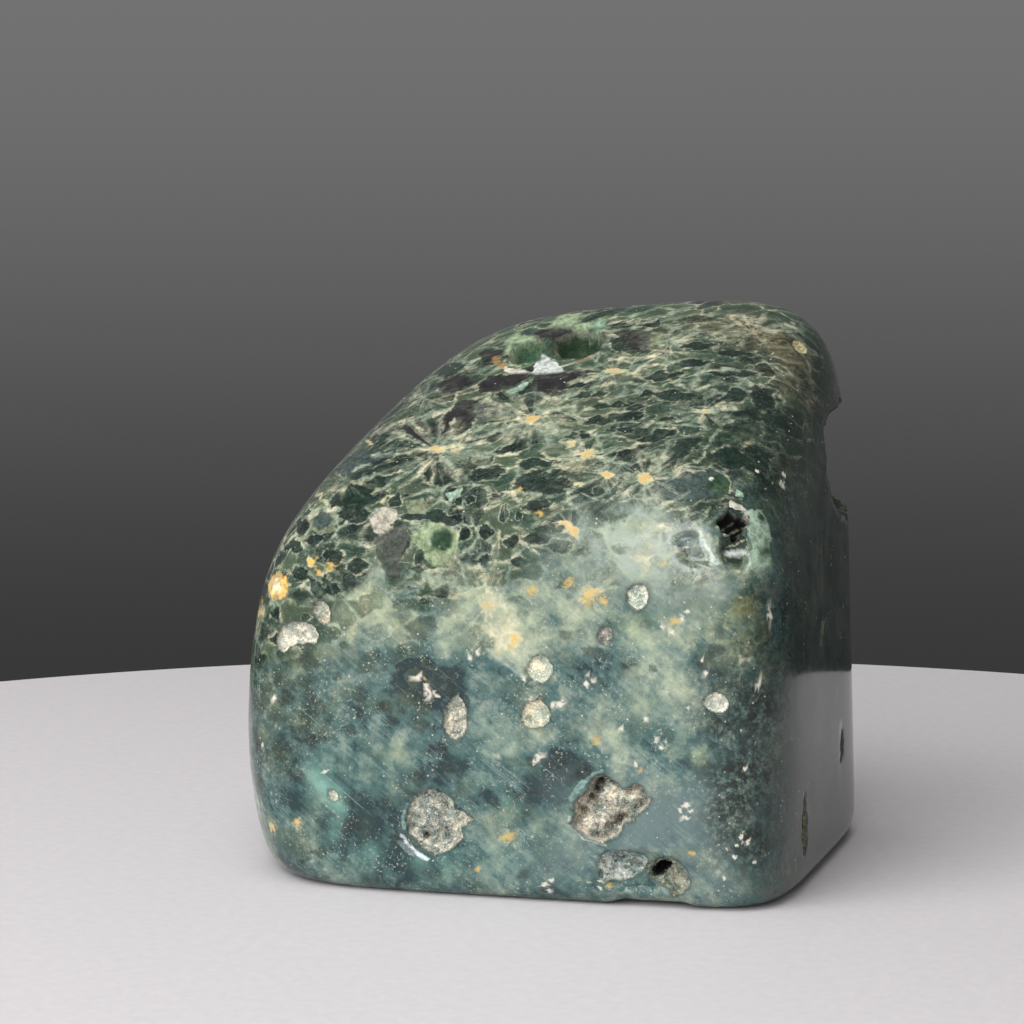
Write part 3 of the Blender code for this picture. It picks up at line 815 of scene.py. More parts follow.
# Broad patches of the polished face, by their place in the photograph: across, down,
# radius in pixels, strength.
patches = {
    "navy": [
        (615, 515, 12, 0.6), (560, 575, 14, 0.5), (640, 600, 12, 0.4), (275, 745, 14, 0.6),
        (500, 800, 14, 0.4), (290, 755, 20, 0.7), (360, 700, 18, 0.6), (670, 730, 18, 0.5),
        (550, 790, 18, 0.6), (560, 580, 14, 0.6), (570, 635, 14, 0.6), (300, 800, 18, 0.5),
        (405, 668, 22, 0.6), (440, 665, 20, 0.6), (455, 690, 16, 0.5), (425, 690, 24, 0.6),
        (470, 715, 14, 0.4), (440, 700, 34, 0.9), (420, 670, 22, 0.7), (405, 735, 26, 0.6),
        (350, 830, 30, 0.8), (398, 860, 28, 0.8), (370, 790, 24, 0.5), (560, 765, 26, 0.8),
        (590, 770, 22, 0.7), (600, 650, 20, 0.3), (630, 662, 18, 0.5), (650, 690, 24, 0.4),
        (545, 860, 26, 0.5), (460, 770, 26, 0.4), (268, 790, 18, 0.6), (320, 745, 24, 0.5),
        (690, 590, 26, 0.4), (480, 870, 22, 0.4), (500, 790, 22, 0.3), (600, 560, 16, 0.4),
        (286, 690, 16, 0.5), (700, 660, 18, 0.4), (730, 690, 18, 0.5), (625, 575, 12, 0.3),
        (405, 600, 14, 0.4),
    ],
    "pale": [
        (305, 690, 16, 0.5), (480, 680, 20, 0.5), (530, 690, 18, 0.4), (605, 660, 16, 0.5),
        (410, 750, 20, 0.5), (490, 770, 20, 0.4), (630, 620, 18, 0.5), (700, 635, 18, 0.5),
        (280, 865, 18, 0.6), (570, 490, 16, 0.5), (710, 390, 18, 0.9), (620, 335, 16, 0.8),
        (700, 418, 12, 0.5), (590, 480, 14, 0.5), (550, 520, 14, 0.5), (640, 335, 14, 0.4),
        (545, 360, 14, 0.4), (680, 840, 16, 0.4), (325, 605, 18, 0.5), (355, 590, 16, 0.4),
        (487, 610, 36, 1.2), (530, 620, 34, 0.8), (440, 590, 26, 0.7), (410, 560, 20, 0.4),
        (620, 560, 36, 1.1), (660, 540, 34, 1.3), (700, 575, 22, 0.9), (600, 530, 28, 0.9),
        (560, 600, 34, 0.9), (640, 590, 26, 0.7), (450, 640, 24, 0.7), (650, 730, 26, 0.4),
        (480, 700, 22, 0.4), (360, 600, 24, 0.7), (720, 590, 18, 0.7), (760, 560, 22, 0.6),
        (740, 620, 20, 0.4), (590, 640, 22, 0.5), (505, 660, 26, 0.7), (350, 640, 20, 0.5),
        (370, 580, 22, 0.8), (410, 615, 24, 0.9), (385, 600, 20, 0.6), (690, 620, 22, 0.4),
        (560, 560, 20, 0.5), (400, 640, 20, 0.5), (655, 660, 26, 0.7), (600, 700, 26, 0.6),
        (640, 700, 24, 0.5), (610, 735, 22, 0.5), (675, 640, 22, 0.6), (690, 690, 18, 0.5),
        (345, 592, 16, 0.4), (372, 612, 20, 0.7), (340, 620, 16, 0.6), (560, 680, 20, 0.5),
        (580, 620, 20, 0.5), (640, 640, 20, 0.5), (430, 575, 18, 0.6), (470, 590, 20, 0.7),
        (510, 600, 20, 0.6), (540, 590, 20, 0.6), (570, 620, 20, 0.6), (520, 640, 22, 0.6),
        (490, 640, 20, 0.5), (700, 610, 18, 0.5), (300, 730, 14, 0.4), (440, 655, 14, 0.5),
        (500, 770, 16, 0.4),
    ],
    "green": [
        (768, 708, 22, 0.9), (766, 770, 20, 0.6), (560, 815, 16, 0.4), (470, 745, 16, 0.3),
        (677, 523, 14, 0.8), (700, 555, 12, 0.9), (704, 580, 12, 0.6), (430, 440, 22, 0.6),
        (760, 330, 22, 0.7), (730, 340, 18, 0.5), (250, 690, 12, 0.8), (252, 770, 12, 0.8),
        (370, 475, 18, 0.7), (430, 430, 20, 0.7), (400, 450, 18, 0.6), (660, 480, 18, 0.6),
        (760, 335, 16, 0.7), (700, 570, 14, 0.9), (690, 545, 12, 0.5), (728, 780, 34, 0.6),
        (735, 845, 34, 0.7), (716, 830, 20, 0.5), (745, 760, 24, 0.5), (400, 420, 26, 0.7),
        (360, 455, 26, 0.7), (430, 400, 20, 0.5), (680, 575, 14, 0.8), (690, 560, 12, 0.5),
        (740, 410, 30, 0.7), (700, 470, 26, 0.6), (760, 350, 30, 0.6), (290, 755, 22, 0.6),
        (660, 470, 22, 0.5), (750, 660, 34, 0.8), (745, 720, 34, 0.9), (740, 790, 30, 0.8),
        (750, 850, 30, 0.6), (700, 500, 40, 0.7), (740, 450, 36, 1.0), (700, 440, 30, 0.5),
        (780, 420, 30, 1.2), (719, 680, 12, 0.6), (752, 700, 14, 0.8), (719, 728, 12, 0.6),
        (732, 792, 14, 0.7), (719, 779, 12, 0.5), (713, 811, 12, 0.7), (706, 862, 14, 0.5),
        (755, 790, 16, 0.8), (755, 840, 16, 0.8), (762, 640, 16, 0.5), (690, 712, 12, 0.5),
        (700, 731, 10, 0.4), (258, 660, 14, 1.0), (256, 700, 14, 1.0), (256, 740, 14, 1.0),
        (260, 790, 14, 0.9), (275, 680, 12, 0.6), (272, 720, 12, 0.6), (290, 700, 12, 0.5),
        (262, 625, 10, 0.6), (310, 680, 12, 0.4), (270, 835, 12, 0.5), (735, 560, 12, 0.6),
        (752, 590, 12, 0.8), (370, 480, 30, 0.7), (420, 430, 26, 0.8), (400, 455, 22, 0.6),
        (500, 405, 30, 0.5), (460, 470, 24, 0.5), (355, 460, 20, 0.7), (640, 500, 16, 0.4),
        (690, 395, 30, 0.7), (720, 350, 34, 0.6), (650, 440, 26, 0.6), (620, 400, 24, 0.4),
        (540, 490, 22, 0.4), (305, 550, 20, 0.4), (270, 760, 20, 0.5), (300, 850, 30, 0.6),
        (700, 680, 22, 0.3), (716, 720, 20, 0.4), (740, 600, 16, 0.6), (770, 480, 30, 1.2),
        (760, 540, 16, 0.6), (765, 600, 14, 0.6),
    ],
    "olive": [
        (745, 604, 12, 0.5), (758, 655, 10, 0.6), (262, 835, 12, 0.5), (318, 650, 14, 0.4),
        (300, 662, 20, 0.5), (312, 722, 18, 0.4), (278, 760, 14, 0.5), (262, 735, 12, 0.5),
        (752, 604, 14, 0.9), (762, 632, 12, 0.8), (745, 640, 12, 0.7), (750, 580, 10, 0.6),
        (762, 668, 11, 0.6), (718, 630, 13, 0.9), (735, 650, 13, 0.8), (702, 600, 13, 0.7),
        (738, 612, 12, 0.8), (288, 640, 12, 0.6), (276, 700, 11, 0.6), (300, 850, 14, 0.5),
        (272, 850, 12, 0.8), (366, 605, 12, 0.7), (350, 632, 12, 0.5), (724, 690, 12, 0.6),
        (712, 660, 12, 0.5), (400, 752, 10, 0.5), (300, 720, 10, 0.5), (330, 700, 10, 0.4),
        (640, 620, 12, 0.3), (268, 640, 10, 0.6), (268, 820, 9, 0.7), (690, 640, 10, 0.5),
        (755, 700, 12, 0.4),
    ],
    "orb": [
        (634, 629, 13, 0.9), (640, 704, 13, 0.9), (700, 757, 8, 1.2), (690, 577, 12, 0.9),
        (663, 616, 8, 0.5), (605, 612, 10, 0.5), (505, 815, 8, 0.6), (505, 838, 8, 0.6),
        (404, 700, 9, 0.2), (378, 600, 13, 0.5), (320, 650, 8, 0.4), (297, 668, 8, 0.4),
        (397, 752, 10, 0.5), (367, 775, 7, 0.4), (538, 826, 8, 0.5), (455, 640, 12, 0.4),
        (496, 742, 7, 0.4), (618, 731, 8, 0.4), (565, 640, 10, 0.4), (350, 612, 10, 0.5),
    ],
    "umber": [
        (740, 325, 26, 0.8), (775, 340, 24, 0.9), (802, 365, 20, 0.9), (812, 400, 18, 0.8),
        (700, 322, 22, 0.4), (790, 385, 22, 0.6), (612, 372, 14, 0.6), (530, 420, 16, 0.4),
        (436, 452, 16, 0.4), (650, 340, 20, 0.4), (480, 400, 18, 0.4), (580, 470, 16, 0.4),
        (450, 395, 16, 0.4),
    ],
    "teal": [
        (330, 760, 26, 0.8), (350, 800, 24, 0.8), (330, 850, 24, 0.8), (385, 855, 34, 0.8),
        (440, 872, 30, 0.7), (505, 860, 30, 0.7), (290, 770, 22, 0.6), (380, 770, 22, 0.5),
        (300, 800, 24, 0.5), (560, 860, 30, 0.5), (560, 800, 26, 0.6), (470, 770, 30, 0.5),
        (500, 740, 30, 0.5), (660, 730, 30, 0.4), (640, 640, 26, 0.4), (700, 760, 30, 0.5),
    ],
    "glow": [
        (333, 795, 9, 1.5), (322, 784, 9, 0.8), (312, 772, 9, 0.5), (338, 808, 7, 0.6), (336, 822, 6, 0.6),
        (335, 836, 6, 0.5), (372, 852, 9, 0.5), (420, 862, 10, 0.4), (448, 866, 9, 0.3),
        (505, 800, 6, 0.3),
    ],
    # painted reflection of the table: a grey haze on the lower front
    "paintedTableSheen": [
        (640, 800, 30, 0.9), (680, 815, 26, 0.9), (620, 845, 22, 0.6), (560, 790, 20, 0.5),
        (570, 850, 26, 0.7), (650, 835, 24, 0.8), (700, 850, 26, 0.6), (540, 870, 26, 0.5),
        (720, 880, 24, 0.5), (700, 790, 20, 0.4),
    ],
    # painted reflection of the front soft light: a pale haze over the bend
    "paintedSheen": [
        (600, 540, 40, 0.6), (660, 540, 34, 1.0), (680, 590, 34, 0.8), (620, 560, 34, 0.8),
        (640, 510, 26, 0.5), (720, 590, 20, 0.4), (560, 580, 30, 0.4),
    ],
}

# Dark cells of the upper face: across, down, half width, half height in pixels, degrees
# that the long axis rises to the right, strength.
darkCells = [
    (503, 381, 27, 7.5, 12, 1.2), (552, 382, 44, 7, 10, 1.2), (457, 421, 23, 13, 25, 1.1),
    (494, 408, 28, 7, -3, 1.0), (421, 435, 15, 8, -15, 1.1), (391, 429, 18, 5, 22, 1.2),
    (449, 368, 20, 8, 15, 1.0), (377, 457, 21, 7, 20, 1.1), (392, 466, 28, 6, 18, 1.0),
    (366, 494, 24, 11, 10, 1.1), (395, 499, 9, 6, 55, 1.1), (442, 473, 20, 11, 10, 0.9),
    (472, 462, 16, 7, 10, 0.9), (477, 474, 12, 5, 30, 1.0), (494, 471, 12, 7, 20, 0.8),
    (512, 447, 22, 5, 15, 1.0), (530, 436, 19, 8, 0, 0.9), (475, 439, 14, 3.5, 12, 0.9),
    (496, 436, 10, 5, 20, 0.7), (530, 481, 20, 11, 20, 0.9), (539, 504, 14, 6, 8, 1.2),
    (504, 512, 6, 8, -10, 1.3), (521, 516, 4, 4, 0, 1.2), (461, 499, 5, 6, 0, 1.1),
    (472, 499, 5, 6, 0, 1.1), (424, 515, 24, 5, 4, 1.1), (532, 462, 14, 4.5, 15, 0.9),
    (513, 390, 15, 6, 18, 0.9), (664, 375, 21, 5, 4, 1.2), (577, 384, 11, 3, 6, 1.1),
    (581, 394, 13, 5, 8, 0.8), (672, 394, 23, 7, -4, 1.2), (602, 393, 10, 3.5, 10, 0.8),
    (560, 416, 17, 5, -8, 1.0), (597, 420, 17, 5, 5, 0.9), (626, 415, 21, 5, 4, 0.9),
    (635, 406, 11, 4, 8, 0.9), (669, 417, 9, 3.5, 0, 1.0), (658, 435, 22, 6, 16, 1.1),
    (630, 452, 18, 6, 24, 1.1), (683, 447, 19, 9, 35, 1.0), (670, 462, 10, 6, 60, 1.0),
    (545, 463, 14, 4, 5, 0.9), (558, 472, 18, 3.5, 6, 0.9), (552, 485, 24, 9, 6, 0.8),
    (535, 504, 14, 8, 10, 1.0), (599, 489, 6, 6, 0, 0.9), (620, 487, 13, 4.5, 25, 1.0),
    (599, 465, 9, 3.5, 12, 0.9), (626, 477, 5, 2.5, 10, 0.9), (709, 418, 10, 6, 20, 0.9),
    (625, 429, 8, 3, 0, 0.9), (673, 490, 22, 12, 10, 0.9), (704, 511, 20, 10, 20, 1.0),
    (735, 394, 16, 7, 10, 1.1), (763, 397, 15, 10, -50, 1.0), (730, 457, 16, 12, -20, 1.2),
    (756, 457, 20, 14, 0, 0.9), (727, 534, 12, 8, 0, 1.1), (735, 558, 12, 9, 0, 1.0),
    (614, 404, 12, 3.5, 10, 0.8), (690, 362, 22, 4, 3, 1.0), (640, 348, 18, 5, 8, 1.1),
    (620, 342, 12, 8, -35, 1.1), (610, 325, 24, 4, 10, 0.9), (700, 345, 20, 4, 0, 0.9),
    (735, 352, 20, 4, -6, 0.9), (755, 338, 18, 4, -14, 0.9), (700, 318, 26, 4, 0, 0.9),
    (720, 372, 12, 4, 0, 0.9), (742, 372, 16, 4, -4, 0.9), (655, 322, 22, 4, 4, 0.9),
    (600, 405, 12, 3, 6, 0.7), (645, 393, 9, 4, 10, 0.8), (578, 435, 14, 4, 10, 0.7),
    (354, 513, 16, 10, 0, 1.0), (343, 498, 22, 8, 14, 0.9), (368, 491, 12, 8, 0, 0.9),
    (316, 539, 9, 6, 10, 1.3), (293, 546, 8, 7, 0, 0.9), (303, 526, 6, 12, -30, 0.9),
    (334, 556, 10, 9, 0, 0.9), (359, 566, 12, 8, 0, 1.0), (396, 543, 14, 14, 0, 1.0),
    (444, 541, 12, 11, 0, 1.2), (464, 533, 8, 8, 0, 1.0), (487, 531, 8, 9, 0, 1.0),
    (485, 561, 10, 8, 0, 1.0), (447, 519, 18, 6, 0, 1.1), (333, 588, 9, 9, 0, 1.0),
    (316, 589, 7, 12, 0, 1.0), (276, 612, 6, 7, 0, 1.1), (308, 617, 5, 4, 0, 1.0),
    (416, 569, 8, 7, 0, 1.0), (412, 587, 5, 5, 0, 1.2), (427, 601, 8, 6, 0, 0.9),
    (441, 591, 10, 8, 0, 0.9), (301, 573, 10, 9, 0, 0.8), (535, 538, 16, 7, 0, 1.0),
    (560, 545, 14, 6, -6, 0.9), (552, 528, 20, 7, 0, 0.8), (512, 541, 9, 8, 0, 0.9),
    (323, 518, 9, 7, 0, 0.8), (283, 575, 6, 8, 20, 0.8), (375, 590, 8, 6, 0, 0.6),
    (520, 562, 10, 6, 0, 0.8), (505, 575, 8, 5, 0, 0.6), (560, 585, 10, 5, 20, 0.8),
    (262, 658, 7, 7, 0, 1.0), (281, 653, 6, 7, 0, 0.9), (301, 663, 7, 7, 0, 1.0), (316, 664, 7, 7, 0, 0.8),
    (266, 686, 7, 8, 0, 0.9), (294, 683, 8, 7, 0, 0.9), (310, 695, 9, 7, 0, 0.9), (275, 638, 6, 6, 0, 0.9),
    (260, 709, 6, 7, 0, 0.8), (281, 702, 8, 6, 0, 0.8), (336, 676, 9, 7, 0, 0.7), (323, 706, 9, 8, 0, 0.8),
    (349, 728, 12, 7, -20, 0.7), (314, 741, 10, 6, 0, 0.7), (266, 756, 8, 8, 0, 0.8),
    (298, 775, 12, 7, -20, 0.7), (384, 706, 10, 8, 0, 0.7), (358, 693, 9, 7, 0, 0.6),
    (424, 668, 14, 10, 20, 1.1), (444, 684, 10, 12, 0, 1.0), (412, 694, 14, 12, 0, 1.0),
    (464, 700, 6, 14, 10, 0.8), (420, 726, 12, 9, 0, 0.8), (436, 748, 10, 8, 0, 0.7),
    (419, 779, 12, 8, 0, 0.6), (445, 768, 9, 7, 0, 0.6), (350, 800, 12, 8, 0, 0.7),
    (352, 826, 14, 8, 20, 0.7), (394, 838, 8, 9, 0, 0.6), (320, 852, 12, 7, 0, 0.6),
    (288, 866, 10, 6, 0, 0.6), (530, 790, 10, 7, 0, 0.6), (556, 762, 14, 9, 20, 0.9),
    (584, 776, 12, 8, 0, 0.9), (524, 874, 10, 6, 0, 0.7), (549, 864, 8, 6, 0, 0.6),
    (588, 650, 10, 8, 0, 0.5), (606, 655, 9, 7, 0, 0.4), (628, 662, 10, 7, 0, 0.5),
    (566, 634, 8, 6, 0, 0.6), (652, 668, 8, 6, 0, 0.5), (714, 650, 12, 10, 0, 0.9),
    (738, 680, 9, 10, 0, 0.9), (752, 696, 8, 9, 0, 0.9), (749, 728, 8, 12, 0, 0.8),
]

# Pale veins and rays: width in pixels, then places along the stroke.
veinStrokes = [
    (4.0, [(371, 435), (402, 421), (448, 408)]), (2.5, [(372, 454), (400, 452), (425, 449)]),
    (1.6, [(440, 440), (448, 428), (456, 416)]), (1.6, [(415, 427), (433, 438)]),
    (1.8, [(400, 432), (424, 446)]), (3.0, [(445, 448), (466, 444), (487, 438)]),
    (2.6, [(452, 439), (470, 431), (490, 424)]), (3.0, [(490, 424), (508, 420), (526, 417)]),
    (2.2, [(431, 455), (402, 475), (373, 494)]), (2.2, [(432, 460), (410, 480), (389, 496)]),
    (1.8, [(435, 460), (433, 480)]), (2.6, [(443, 456), (456, 469)]), (2.2, [(506, 403), (522, 412)]),
    (1.6, [(530, 421), (520, 438)]), (3.4, [(541, 420), (556, 426), (572, 430)]),
    (2.4, [(541, 420), (551, 433)]), (3.2, [(540, 413), (557, 408), (575, 403)]),
    (2.4, [(523, 420), (495, 430), (462, 440)]), (3.5, [(571, 383), (590, 376), (622, 370)]),
    (3.0, [(630, 365), (655, 363), (680, 361)]), (2.4, [(598, 433), (602, 450)]),
    (3.0, [(657, 471), (669, 443)]), (2.6, [(650, 480), (675, 470), (704, 455)]),
    (3.4, [(646, 481), (645, 498), (648, 514)]), (2.4, [(632, 487), (609, 496)]),
    (3.0, [(700, 409), (735, 407)]), (2.6, [(719, 431), (705, 447), (704, 456)]),
    (3.0, [(648, 512), (660, 503), (672, 500)]), (2.6, [(672, 500), (690, 489)]),
    (3.0, [(646, 519), (668, 511), (686, 506)]), (1.6, [(665, 480), (686, 471), (706, 470)]),
    (1.8, [(725, 470), (733, 481), (729, 491)]), (5.0, [(701, 528), (710, 543), (716, 557), (725, 566)]),
    (3.4, [(688, 582), (706, 575), (727, 572), (740, 571)]), (2.2, [(655, 563), (675, 552), (690, 546)]),
    (3.0, [(540, 395), (560, 400), (580, 390)]), (2.2, [(590, 386), (620, 380), (650, 384)]),
    (2.0, [(600, 400), (622, 396), (645, 386)]), (2.2, [(640, 425), (660, 422), (690, 425), (712, 428)]),
    (2.0, [(560, 440), (575, 452)]), (2.6, [(480, 452), (500, 455), (520, 453)]),
    (2.4, [(500, 500), (515, 490), (540, 492)]), (2.0, [(452, 487), (470, 484), (490, 486)]),
    (2.6, [(545, 452), (560, 458), (585, 460)]), (2.2, [(350, 470), (372, 462)]),
    (2.4, [(352, 483), (380, 474), (405, 470)]), (2.6, [(305, 520), (318, 507), (335, 509), (340, 525)]),
    (2.0, [(286, 540), (294, 535), (302, 546)]), (2.4, [(695, 373), (715, 368), (740, 370)]),
    (2.0, [(760, 380), (775, 390), (785, 402)]), (2.4, [(590, 335), (600, 350), (596, 366)]),
    (2.2, [(610, 358), (640, 356), (660, 352)]), (2.0, [(690, 332), (715, 338), (740, 334)]),
    (2.4, [(720, 325), (750, 322), (775, 330)]), (2.0, [(560, 500), (580, 492), (600, 498)]),
    (2.4, [(620, 500), (636, 496), (650, 484)]), (2.0, [(590, 430), (615, 436), (640, 441)]),
    (2.2, [(610, 460), (640, 462), (655, 455)]),
    (2.4, [(425, 530), (436, 522), (452, 526), (460, 545), (455, 556)]),
    (3.0, [(430, 530), (430, 552), (440, 565)]), (2.4, [(476, 520), (478, 545), (470, 555)]),
    (2.2, [(498, 525), (500, 545), (495, 556)]), (2.4, [(468, 560), (474, 580), (490, 590)]),
    (2.4, [(700, 606), (712, 620), (728, 626)]), (2.0, [(728, 626), (738, 640), (736, 656)]),
    (2.4, [(736, 656), (748, 662), (756, 650)]), (1.8, [(716, 622), (712, 640), (700, 650)]),
    (2.2, [(700, 597), (716, 592), (730, 600), (740, 596)]), (1.8, [(736, 656), (742, 672), (740, 690)]),
    (1.6, [(560, 545), (575, 556), (590, 560)]), (1.6, [(596, 520), (612, 528), (626, 524)]),
    (1.8, [(640, 540), (656, 530), (672, 528)]), (1.6, [(655, 582), (670, 572), (684, 570)]),
    (2.0, [(722, 533), (735, 528), (748, 523)]), (1.4, [(720, 553), (732, 545), (742, 541)]),
    (1.4, [(726, 560), (738, 550)]), (1.8, [(731, 500), (740, 508), (746, 516)]),
    (1.6, [(716, 526), (728, 523), (738, 518)]), (2.4, [(651, 478), (680, 468), (706, 466), (726, 472)]),
    (2.0, [(672, 540), (690, 526), (706, 516)]), (2.0, [(660, 552), (676, 546)]),
    (2.0, [(664, 528), (684, 516), (698, 512)]), (1.8, [(690, 528), (702, 514), (712, 508)]),
]

# Iron-stained spots: across, down, half width, half height in pixels, degrees that the
# long axis rises to the right, strength.
ochreSpots = [
    (487, 605, 15, 15, 0, 0.8), (487, 606, 6, 5, 0, 0.8), (515, 637, 11, 9, -20, 1.1),
    (572, 530, 5, 13, 35, 2.0), (562, 524, 8, 4, 20, 1.0), (538, 544, 7, 6, 0, 0.3),
    (590, 592, 19, 12, 10, 0.8), (582, 604, 8, 6, 0, 0.6), (277, 587, 10, 13, 0, 1.9),
    (312, 561, 4, 11, 40, 1.6), (322, 572, 4, 6, 0, 1.0), (330, 577, 4, 6, 0, 0.8),
    (506, 830, 6, 9, 0, 0.7), (273, 827, 6, 12, 0, 0.8), (297, 823, 6, 11, 0, 0.8),
    (634, 629, 8, 6, 0, 0.6), (261, 612, 6, 9, 0, 1.2), (478, 868, 6, 5, 0, 0.4), (497, 757, 6, 7, 0, 0.9),
    (618, 730, 4, 5, 0, 0.5), (537, 757, 5, 5, 0, 0.7), (613, 370, 14, 4, 5, 1.8),
    (592, 378, 14, 3, 15, 1.0), (532, 416, 9, 6, 0, 1.5), (522, 418, 10, 4, 10, 0.8),
    (436, 449, 15, 5, 5, 1.1), (455, 447, 14, 4, 8, 1.0), (571, 444, 8, 4, 0, 1.2),
    (587, 453, 14, 7, 10, 1.1), (606, 473, 14, 4.5, 0, 1.4), (645, 477, 9, 7, 0, 1.4),
    (581, 483, 9, 4, 10, 1.1), (554, 460, 3, 4, 0, 1.0), (586, 408, 7, 4, 20, 0.9),
    (703, 410, 16, 4, 0, 0.9), (625, 490, 10, 6, 20, 0.6), (748, 443, 6, 5, 0, 0.6),
    (515, 494, 3, 4, 0, 1.2), (384, 501, 3, 6, -20, 1.4), (378, 428, 4, 8, 50, 1.3),
    (368, 440, 3, 6, 50, 1.1), (321, 497, 4, 16, 38, 0.9), (488, 398, 4, 3, 0, 1.1),
    (800, 343, 6, 4, 0, 1.2), (733, 313, 8, 3, 0, 1.0), (490, 505, 14, 3, 5, 0.5),
    (460, 507, 12, 4, 0, 0.6), (430, 500, 12, 4, 30, 0.5), (720, 580, 12, 10, 0, 0.5),
    (455, 620, 8, 10, 0, 0.4), (410, 632, 5, 8, -30, 0.7), (365, 605, 10, 22, 0, 0.5),
    (350, 630, 12, 14, 0, 0.4), (668, 625, 5, 6, 0, 0.5), (497, 403, 26, 3, 5, 0.5),
    (556, 388, 8, 4, 0, 0.5), (770, 330, 16, 6, -20, 0.5), (748, 318, 20, 4, -8, 0.5),
    (685, 800, 4, 8, 10, 0.5), (640, 770, 5, 5, 0, 0.4),
]
